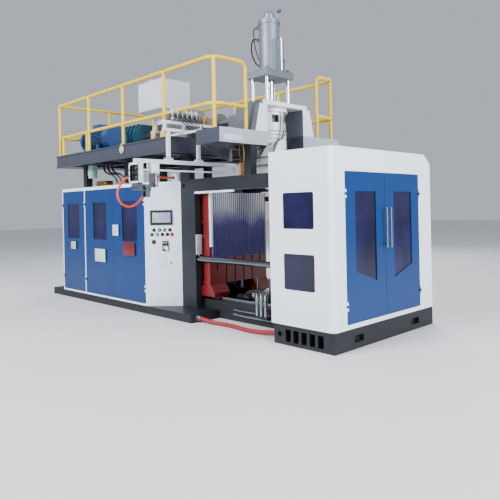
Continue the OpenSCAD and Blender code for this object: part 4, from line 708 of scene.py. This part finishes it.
def addPlates():
    for name, sizes in plateSet.items():
        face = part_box("cabinet_door_%d" % sizes["door"])[0][1]
        (x0, x1), (z0, z1) = sizes["x"], sizes["z"]
        parts = [block((x0, face - 0.0016, z0), (x1, face + 0.001, z1), 0.0006)]
        parts += [turned([(0, 0.006), (0.001, 0.006), (0.0025, 0.0035)], (x, face - 0.0012, z), "-y", 12)
                  for x in insideOf(sizes["x"]) for z in insideOf(sizes["z"])]
        gather(name, parts, sizes["finish"], "door_%d" % sizes["door"])
    x, y, z = (carrierPlateSet[key] for key in "xyz")
    gather("carrierPlate", [block((x[0], y[0], z[0]), (x[1], y[1], z[1]), 0.0008)],
           "palePlate")
    rivets = [turned([(0, 0.006), (0.001, 0.006), (0.0025, 0.003)], (x[1] - 0.0005, along, up), "x", 12)
              for along in insideOf(y) for up in insideOf(z)]
    gather("carrierRivets", rivets, "nutSteel")


addPlates()
print("plates fixed")

# valve bank, regulator and small cylinders on the rails of the take-out arm
valveSet = {
    "x": -0.6,
    "front": -1.36,
    "pitch": 0.082,
    "count": 6,
    "base": 2.81,
    "port": [(0, 0.013), (0.014, 0.013), (0.014, 0.009), (0.03, 0.009), (0.032, 0.007)],
    "tube": 0.012,
    "railDrop": 0.075,     # guide cylinder under the valves' base
}


def makeValveBank():
    x, front, z = valveSet["x"], valveSet["front"], valveSet["base"]
    pitch, count = valveSet["pitch"], valveSet["count"]
    manifold = [block((x - 0.055, front - 0.02, z), (x + 0.055, front + pitch * count, z + 0.045), 0.004)]
    coils, ports, tubes = [], [], []
    for index in range(count):
        y = front + index * pitch
        manifold.append(block((x - 0.045, y, z + 0.045), (x + 0.045, y + 0.052, z + 0.105), 0.005))
        coils.append(block((x - 0.022, y + 0.008, z + 0.105), (x + 0.03, y + 0.044, z + 0.155), 0.006))
        coils.append(rod(0.012, 0.022, (x + 0.004, y + 0.026, z + 0.153)))
        ports.append(turned(valveSet["port"], (x + 0.054, y + 0.026, z + 0.022), "x", 12))
        ports.append(turned(valveSet["port"], (x - 0.054, y + 0.026, z + 0.022), "-x", 12))
        tubes.append(pipe([(x + 0.084, y + 0.026, z + 0.022), (x + 0.13, y + 0.03, z + 0.02),
                           (x + 0.16, front + 0.12 + index * 0.06, z - 0.05),
                           (x + 0.13, front + 0.24 + index * 0.05, z - 0.12),
                           (x + 0.024, front + 0.30 + index * 0.05, z - 0.125)], valveSet["tube"]))
    gather("valveManifold", manifold, "nutSteel")
    gather("valveCoils", coils, "greyPlastic")
    gather("valvePorts", ports, "brassFitting")
    gather("valveTubes", tubes, "blackRubber")


def makeRegulator():
    x, z = valveSet["x"], valveSet["base"]
    low = z - valveSet["railDrop"]
    cap = turned([(0, 0.032), (0.03, 0.034), (0.045, 0.03), (0.05, 0.02)], (x, -0.76, z + 0.07))
    gather("regulatorBody", [block((x - 0.045, -0.82, z), (x + 0.045, -0.70, z + 0.07), 0.01), cap,
                             block((x - 0.03, -0.69, z), (x + 0.03, -0.62, z + 0.05), 0.006)],
           "amberPlastic")
    dial = turned([(0, 0.026), (0.022, 0.026), (0.026, 0.022)], (x + 0.045, -0.76, z + 0.035), "x")
    gather("regulatorGauge", [dial, rod(0.008, 0.09, (x, -0.71, z + 0.03), "y", 12)],
           "nutSteel")
    gather("railCylinder", [rod(0.022, 0.62, (x - 0.05, -1.46, low), "y"),
                            rod(0.009, 0.22, (x - 0.05, -0.842, low), "y", 16),
                            nut(0.016, 0.014, (x - 0.05, -0.63, low), "y")], "railSteel")


makeValveBank()
makeRegulator()
print("take-out valves fitted")

# foot nuts of the hangers, hose ends, insert of the end frame and what the gripper carries
armSet = {
    "x": -0.6,
    "beamTop": 2.27,
    "hangers": (-1.425, -0.905),
    "hangerNuts": {"side": 0.033, "along": (-0.012, 0.056)},
    "armHoseEnd": {"spot": (-0.7402, -1.91, 2.04), "axis": "-x",
                   "rings": [(0, 0.026), (0.01, 0.026), (0.012, 0.021), (0.05, 0.0195), (0.06, 0.0165)]},
    "roofBoxEnd": {"spot": (-1.39, -0.7402, 2.09), "axis": "-y",
                   "rings": [(0, 0.027), (0.012, 0.027), (0.014, 0.021), (0.045, 0.0195), (0.055, 0.0165)]},
    "pulley": [(0, 0.024), (0.012, 0.024), (0.014, 0.02), (0.014, 0.01), (0.02, 0.009)],
    "pulleys": (2.02, 2.155),
    "screw": [(0, 0.011), (0.006, 0.011), (0.008, 0.008)],
    "screws": {"side": (-0.128, 0.098), "z": (1.967, 2.05, 2.13, 2.208)},
    "cylinder": {"side": 0.062, "y": -1.66},
}


def dressArm():
    x, nuts, screws = armSet["x"], armSet["hangerNuts"], armSet["screws"]
    gather("hangerNuts", [nut(0.016, 0.014, (x + side * nuts["side"], y + along, armSet["beamTop"] + 0.02))
                          for y in armSet["hangers"] for side in (-1, 1) for along in nuts["along"]],
           "nutSteel")
    for name, key in (("armHoseFerrule", "armHoseEnd"), ("roofBoxFerrule", "roofBoxEnd")):
        end = armSet[key]
        gather(name, [turned(end["rings"], end["spot"], end["axis"])], "nutSteel")
    gather("frameInsert", [block((x - 0.113, -1.905, 1.983), (x + 0.083, -1.8985, 2.188), 0.001),
                           rod(0.009, 0.2, (x - 0.075, -1.915, 1.985)),
                           rod(0.009, 0.2, (x + 0.045, -1.915, 1.985)),
                           block((x - 0.095, -1.928, 2.07), (x + 0.065, -1.904, 2.11), 0.004)],
           "blackPlastic")
    gather("framePulleys", [turned(armSet["pulley"], (x - 0.015, -1.905, z), "-y", 20)
                            for z in armSet["pulleys"]], "nutSteel")
    gather("frameScrews", [turned(armSet["screw"], (x + side, -1.94, z), "-y", 12)
                           for side in screws["side"] for z in screws["z"]], "nutSteel")


# cover of the carriage, its small cylinder and the pads of the gripper
def dressGripper():
    x, y = armSet["x"], armSet["cylinder"]["y"]
    side = x + armSet["cylinder"]["side"]
    gather("carriageCover", [block((x - 0.056, -1.712, 2.10), (x + 0.056, -1.598, 2.2), 0.012)],
           "whitePlastic", "gripper")
    gather("gripperCylinder", [rod(0.024, 0.12, (side, y, 1.945)), rod(0.012, 0.05, (side, y, 1.90)),
                               nut(0.014, 0.012, (side, y, 2.064)),
                               block((x + 0.03, y - 0.02, 1.97), (x + 0.05, y + 0.02, 2.04), 0.003)],
           "railSteel", "gripper")
    pads = [block((middle - 0.006, -1.80, 1.775), (middle + 0.006, -1.742, 1.83), 0.003)
            for middle in (x - 0.03, x + 0.03)]
    gather("gripperPads", pads, "blackRubber", "gripper")


dressArm()
dressGripper()
print("arm dressed")

# leads and boxes round the head, clipped to it
headSet = {
    "boxes": [(2.300, 0.226), (2.220, 0.226), (2.065, 0.201), (1.940, 0.166)],
    "turn": -40,
    "lead": 0.013,
    "rearLead": {"thick": 0.016, "route": [(0.20, 0.13, 3.02), (0.24, 0.14, 2.85), (0.245, 0.12, 2.66),
                                           (0.225, 0.10, 2.50), (0.20, 0.09, 2.36)]},
    "drumBolts": {"count": 12, "start": 15, "radius": 0.226, "z": 2.9625},
    "lidNuts": {"count": 8, "start": 22.5, "radius": 0.134, "z": 3.0805},
}


def makeHeadLeads():
    angle = math.radians(headSet["turn"])
    c, s = math.cos(angle), math.sin(angle)
    black, white, glands = [], [], []
    for index, (z, radius) in enumerate(headSet["boxes"]):
        out = radius + 0.026
        side = -0.02 + 0.04 * (index % 2)
        x, y = out * c - side * s, out * s + side * c
        reach = 0.248 + 0.018 * index
        step = 0.035 * index
        glands.append(turned([(0, 0.010), (0.012, 0.010), (0.018, 0.007)], (x, y, z + 0.028), "z", 12))
        lead = [(x, y, z + 0.045), (reach * c + 0.02, reach * s, 2.40 + 0.03 * index),
                (0.245, -0.10 + step, 2.62), (0.232, -0.05 + step, 2.85), (0.20, -0.03 + step, 3.02)]
        (white if index == 1 else black).append(pipe(lead, headSet["lead"]))
    black.append(pipe(headSet["rearLead"]["route"], headSet["rearLead"]["thick"]))
    gather("headLeadsBlack", black, "blackRubber")
    gather("headLeadsWhite", white, "whiteRubber")
    gather("headGlands", glands, "brassFitting")


# places spread evenly on a circle round the head's axis
def roundHead(circle):
    count, radius = circle["count"], circle["radius"]
    angles = [math.radians(circle["start"] + index * 360 / count) for index in range(count)]
    return [(radius * math.cos(angle), radius * math.sin(angle), circle["z"]) for angle in angles]


def makeHeadBolts():
    shank = [(0, 0.012), (0.014, 0.012), (0.014, 0.006), (0.006, 0.006)]
    bolts = [turned(shank, spot, "-z", 12) for spot in roundHead(headSet["drumBolts"])]
    bolts += [nut(0.014, 0.012, spot) for spot in roundHead(headSet["lidNuts"])]
    gather("headBolts", bolts, "nutSteel")


makeHeadLeads()
makeHeadBolts()
print("head dressed")

# pipes and fittings of the big cylinder on top
topSet = {
    "plateTop": 3.56,
    "top": 4.32,
    "unions": [(0.05, 0.034), (0.23, 0.029)],      # depth under the top and radius
    "hoses": {"long": 0.022, "short": 0.016},
    "pipes": {"long": 0.022, "short": 0.018},
    "plateNuts": {"x": 0.14, "y": 0.22},
}


def makeTopPipes():
    top, plate, nuts = topSet["top"], topSet["plateTop"], topSet["plateNuts"]
    fittings = [nut(wide, 0.03, (-0.210, 0, top - drop), "-x") for drop, wide in topSet["unions"]]
    fittings.append(rod(0.024, 0.05, (0.118, 0.06, top + 0.115), "x", 16))
    gather("topFittings", fittings, "nutSteel")
    longHose = [(-0.24, 0, top - 0.23), (-0.33, 0.0, top - 0.20), (-0.40, 0.02, top - 0.32),
                (-0.38, 0.08, top - 0.52), (-0.29, 0.12, plate + 0.14), (-0.235, 0.14, plate + 0.001)]
    shortHose = [(-0.25, 0, top - 0.05), (-0.32, 0.01, top - 0.04), (-0.37, 0.05, top - 0.16),
                 (-0.36, 0.12, top - 0.44), (-0.29, 0.18, plate + 0.14), (-0.235, 0.20, plate + 0.001)]
    gather("topHose", [pipe(longHose, topSet["hoses"]["long"]), pipe(shortHose, topSet["hoses"]["short"])],
           "blackRubber")
    longPipe = [(0.206, 0.02, top - 0.29), (0.212, 0.02, top - 0.31), (0.212, 0.02, plate + 0.20),
                (0.212, 0.02, plate + 0.001)]
    shortPipe = [(0.199, 0.075, plate + 0.16), (0.222, 0.08, plate + 0.15), (0.228, 0.08, plate + 0.08),
                 (0.228, 0.08, plate + 0.001)]
    gather("topPipes", [pipe(longPipe, topSet["pipes"]["long"]), pipe(shortPipe, topSet["pipes"]["short"])],
           "railSteel")
    gather("topPlateNuts", [nut(0.034, 0.03, (x * nuts["x"], y * nuts["y"], plate + 0.0005))
                            for x in (-1, 1) for y in (-1, 1)], "nutSteel")


makeTopPipes()
print("cylinder piped")

# leads that sweep under the carrier from the valves to the head, in clips
loomSet = {"thick": 0.02, "spread": 0.028, "count": 5}


def makeLoom():
    leads = []
    for index in range(loomSet["count"]):
        d = index * loomSet["spread"]
        route = [(-0.574, -1.08 + d, 2.69), (-0.50, -1.06 + d, 2.60), (-0.36, -0.98 + d, 2.47 - d * 0.5),
                 (-0.20, -0.86 + d, 2.40 - d), (-0.02, -0.72 + d * 0.8, 2.37 - d),
                 (0.14, -0.52 + d * 0.6, 2.39 - d), (0.20, -0.36 + d * 0.4, 2.46),
                 (0.17, -0.20 + d * 0.2, 2.50)]
        leads.append(pipe(route, loomSet["thick"] - 0.002 * (index % 3)))
    clips = [block((-0.06, -0.78, 2.405), (0.02, -0.60, 2.4495), 0.004),
             block((-0.05, -0.80, 2.24), (0.01, -0.785, 2.43), 0.004)]
    gather("carrierLoom", leads, "blackRubber")
    gather("loomClip", clips, "nutSteel")


# coiled air line that hangs from the carrier and goes back to it
coilSet = {
    "x": 0.12,
    "y": -0.72,
    "low": 2.05,
    "high": 2.22,
    "turns": 7,
    "pointsPerTurn": 10,
    "radius": 0.042,
    "thick": 0.011,
    "carrier": 2.452,
    "sockets": (0.03, -0.04),
    "socket": [(0, 0.014), (0.02, 0.014), (0.026, 0.009), (0.034, 0.009)],
}


def makeCoil():
    sizes = coilSet
    x, y, low, high, carrier = (sizes[key] for key in ("x", "y", "low", "high", "carrier"))
    steps = sizes["turns"] * sizes["pointsPerTurn"]
    wound = []
    for index in range(steps + 1):
        angle = 2 * math.pi * index / sizes["pointsPerTurn"]
        wound.append((x + sizes["radius"] * math.cos(angle), y + sizes["radius"] * math.sin(angle),
                      high + (low - high) * index / steps))
    down = [(x + 0.03, y, carrier), (x + 0.045, y, 2.38), (x + 0.055, y - 0.005, 2.29)]
    back = [(x + 0.03, y + 0.03, low - 0.02), (x - 0.02, y + 0.045, low + 0.03), (x - 0.055, y + 0.04, 2.14),
            (x - 0.06, y + 0.03, 2.28), (x - 0.05, y + 0.01, 2.38), (x - 0.04, y, carrier)]
    gather("airCoil", [pipe(down + wound + back, sizes["thick"])], "amberPlastic")
    gather("coilSockets", [turned(sizes["socket"], (x + side, y, carrier - 0.0015), "-z", 12)
                           for side in sizes["sockets"]], "brassFitting")


makeLoom()
makeCoil()
print("loom and coil hung")

# what stands on the platform's edge and hangs under it
deckSet = {
    "deck": 2.64,
    "under": 2.42,
    "roof": 2.03,
    "unitY": -1.075,
    "roofPipes": {"spread": (0, 0.09, 0.18), "lean": 0.3, "thick": 0.034},
    "bowl": [(0, 0.036), (0.05, 0.038), (0.06, 0.03), (0.075, 0.03), (0.08, 0.022)],
    "smallBowl": [(0, 0.034), (0.05, 0.036), (0.062, 0.028), (0.07, 0.02)],
    "union": [(0, 0.034), (0.018, 0.034), (0.02, 0.026), (0.05, 0.024)],
    "flange": [(0, 0.062), (0.008, 0.062), (0.010, 0.058), (0.010, 0.03), (0.022, 0.028), (0.024, 0.02)],
}


def makeServiceUnit():
    deck, y = deckSet["deck"], deckSet["unitY"]
    gather("serviceUnit", [block((-1.44, -1.12, deck), (-1.34, -1.03, deck + 0.15), 0.008),
                           turned(deckSet["bowl"], (-1.39, y, deck + 0.15)),
                           block((-1.20, -1.12, deck), (-1.10, -1.03, deck + 0.12), 0.008),
                           turned(deckSet["smallBowl"], (-1.15, y, deck + 0.12))],
           "beigePlastic")
    link = [(-1.34, y, deck + 0.09), (-1.27, y, deck + 0.09), (-1.20, y, deck + 0.09)]
    outlet = [(-1.10, y, deck + 0.08), (-1.03, y, deck + 0.09), (-0.99, -1.04, deck + 0.03),
              (-0.98, -1.02, deck)]
    inlet = [(-1.44, y, deck + 0.08), (-1.52, -1.07, deck + 0.08), (-1.56, -1.05, deck + 0.02),
             (-1.56, -1.04, deck - 0.004)]
    gather("servicePipes", [pipe(link, 0.028), pipe(outlet, 0.022), pipe(inlet, 0.022)],
           "brassFitting")


def makeRoofPipes():
    under, roof, sizes = deckSet["under"], deckSet["roof"], deckSet["roofPipes"]
    gather("greenBox", [block((-3.54, -1.06, 2.19), (-3.41, -0.94, under), 0.008),
                        block((-3.52, -1.075, 2.23), (-3.43, -1.058, 2.33), 0.004)],
           "mintPaint")
    pipes, unions = [], []
    for d in sizes["spread"]:
        y = -0.98 + d * sizes["lean"]
        pipes.append(pipe([(-3.12 + d, y, under + 0.02), (-3.10 + d, y, under - 0.10),
                           (-2.96 + d, y - 0.02, under - 0.17), (-2.78 + d, y - 0.02, under - 0.22),
                           (-2.70 + d, y, roof + 0.09), (-2.69 + d, y, roof - 0.002)], sizes["thick"]))
        unions.append(turned(deckSet["union"], (-2.69 + d, y, roof - 0.001), "z", 12))
    gather("roofPipes", pipes, "blackRubber")
    gather("roofUnions", unions + [block((-3.25, -1.06, roof), (-2.95, -0.9, roof + 0.09), 0.006)],
           "brassFitting")
    gather("postFlange", [turned(deckSet["flange"], (-2.06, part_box("platform_deck")[0][1], 2.56), "-y", 32)],
           "beigePlastic")


makeServiceUnit()
makeRoofPipes()
print("platform fitted")

# drives and pipes low down in the clamp, clear of the platens' feet and the racks
clampSet = {
    "bed": 0.229,
    "motor": {"spot": (-0.52, -0.225, 0.282),
              "rings": [(0, 0.046), (0.02, 0.05), (0.10, 0.05), (0.102, 0.042), (0.24, 0.042), (0.26, 0.034),
                        (0.262, 0.018), (0.29, 0.016)]},
    "plugs": {"x": (-0.33, -0.27), "y": -0.15, "z": 0.262, "radius": 0.018, "length": 0.02},
    "leftUnion": {"spot": (-0.6001, -0.96, 0.066), "axis": "x",
                  "rings": [(0, 0.046), (0.02, 0.046), (0.022, 0.038), (0.06, 0.034), (0.075, 0.0285)]},
    "rightUnion": {"spot": (1.0101, -0.89, 0.070), "axis": "-x",
                   "rings": [(0, 0.046), (0.02, 0.046), (0.022, 0.038), (0.05, 0.034), (0.062, 0.0285)]},
    "thickPipe": [(-0.28, -0.558, 0.10), (-0.05, -0.572, 0.095), (0.20, -0.572, 0.095), (0.60, -0.572, 0.10),
                  (0.86, -0.558, 0.10)],
    "thinPipe": [(-0.28, -0.558, 0.16), (-0.05, -0.570, 0.16), (0.20, -0.570, 0.16), (0.60, -0.570, 0.16),
                 (0.86, -0.558, 0.16)],
}


def makeClampParts():
    bed, motor, plugs = clampSet["bed"], clampSet["motor"], clampSet["plugs"]
    gather("pumpMotor", [turned(motor["rings"], motor["spot"], "x"),
                         block((-0.50, -0.26, bed), (-0.30, -0.19, 0.25), 0.004)],
           "blackPlastic")
    stack = [block((-0.36, -0.15, bed), (-0.24, 0.10, 0.29), 0.006),
             block((-0.35, -0.12, 0.29), (-0.25, 0.07, 0.332), 0.004)]
    stack += [rod(plugs["radius"], plugs["length"], (x, plugs["y"], plugs["z"]), "-y", 16)
              for x in plugs["x"]]
    gather("valveStack", stack, "greyPlastic")
    unions = [turned(union["rings"], union["spot"], union["axis"])
              for union in (clampSet["leftUnion"], clampSet["rightUnion"])]
    gather("floorUnion", unions, "nutSteel")
    gather("bedPipes", [pipe(clampSet["thickPipe"], 0.03), pipe(clampSet["thinPipe"], 0.02)],
           "railSteel")


# pale box on the inner side of the column
def makeColumnBox():
    gland = turned([(0, 0.012), (0.01, 0.012), (0.016, 0.008)], (-0.93, -0.65, 0.921), "-z", 12)
    gather("columnBox", [block((-0.941, -0.70, 0.92), (-0.915, -0.60, 1.22), 0.004), gland],
           "greyPlastic")


# air tubes on a bracket in front of the bed, with hoses up to the blow unit
tubeSet = {"x": (0.28, 0.36, 0.44), "y": -0.638, "low": 0.125, "high": 0.43, "bed": -0.554, "hose": 0.018}


def makeAirTubes():
    y, low, high, bed = (tubeSet[key] for key in ("y", "low", "high", "bed"))
    tall = high - low
    gather("tubeBracket", [block((0.24, y - 0.02, low), (0.48, bed, low + 0.03), 0.004),
                           block((0.24, bed - 0.012, low - 0.03), (0.48, bed, low + 0.09), 0.003)],
           "framePaint")
    rings = [(0, 0.02), (0.004, 0.024), (tall - 0.05, 0.024), (tall - 0.04, 0.018), (tall, 0.014)]
    gather("airTubes", [turned(rings, (x, y, low + 0.03), "z", 20) for x in tubeSet["x"]],
           "railSteel")
    lines = []
    for x in tubeSet["x"]:
        end = x * 0.4 - 0.11
        lines.append(pipe([(x, y, high + 0.028), (x - 0.005, y, high + 0.045), (x - 0.04, y, high + 0.06),
                           (x - 0.12, y, high + 0.05), (end + 0.05, y + 0.01, high),
                           (end + 0.01, -0.56, 0.38), (end, -0.44, 0.33), (end, -0.34, 0.32),
                           (end, -0.279, 0.32)], tubeSet["hose"]))
    gather("airHoses", lines, "blackRubber")


makeClampParts()
makeColumnBox()
makeAirTubes()
print("clamp parts fitted")

# plain pale floor and soft studio light
stageSet = {
    "floor": (226, 228, 231),
    "sky": (235, 240, 248),
    "skyPower": 0.62,
    "key": {"place": (-1.5, -12.0, 8.5), "aim": (-1.5, 0.0, 1.5), "size": 7.0, "power": 2900},
    "fill": {"place": (12.0, -1.5, 6.0), "aim": (0.0, 0.0, 1.5), "size": 7.0, "power": 2400},
    "rim": {"place": (-6.0, 9.0, 8.0), "aim": (-1.5, 0.0, 2.0), "size": 6.0, "power": 900},
}


def setStage():
    bpy.ops.object.select_all(action="DESELECT")
    bpy.ops.mesh.primitive_plane_add(size=90, location=(-1.5, 0, -0.0005))
    floor = bpy.context.object
    floor.name = "studioFloor"
    material, shade = startFinish("studioFloor")
    speck = blotch(shade, place(shade), 0.8, 3.0)
    low = [c * 0.97 for c in stageSet["floor"]]
    colour = mixColour(shade, speck, tint(stageSet["floor"]), tint(low))
    endFinish(material, shade, {"Base Color": colour, "Roughness": 0.7})
    floor.data.materials.append(material)
    world = bpy.data.worlds.new("studioSky")
    world.use_nodes = True
    back = world.node_tree.nodes["Background"]
    back.inputs[0].default_value = tint(stageSet["sky"])
    back.inputs[1].default_value = stageSet["skyPower"]
    bpy.context.scene.world = world
    for name in ("key", "fill", "rim"):
        sizes = stageSet[name]
        data = bpy.data.lights.new(name, "AREA")
        data.shape = "DISK"
        data.size = sizes["size"]
        data.energy = sizes["power"]
        lamp = bpy.data.objects.new(name, data)
        bpy.context.scene.collection.objects.link(lamp)
        lamp.location = sizes["place"]
        lamp.rotation_mode = "QUATERNION"
        lamp.rotation_quaternion = (Vector(sizes["aim"]) - Vector(sizes["place"])).to_track_quat("-Z", "Y")


setStage()
print("stage lit")

bpy.context.view_layer.update()
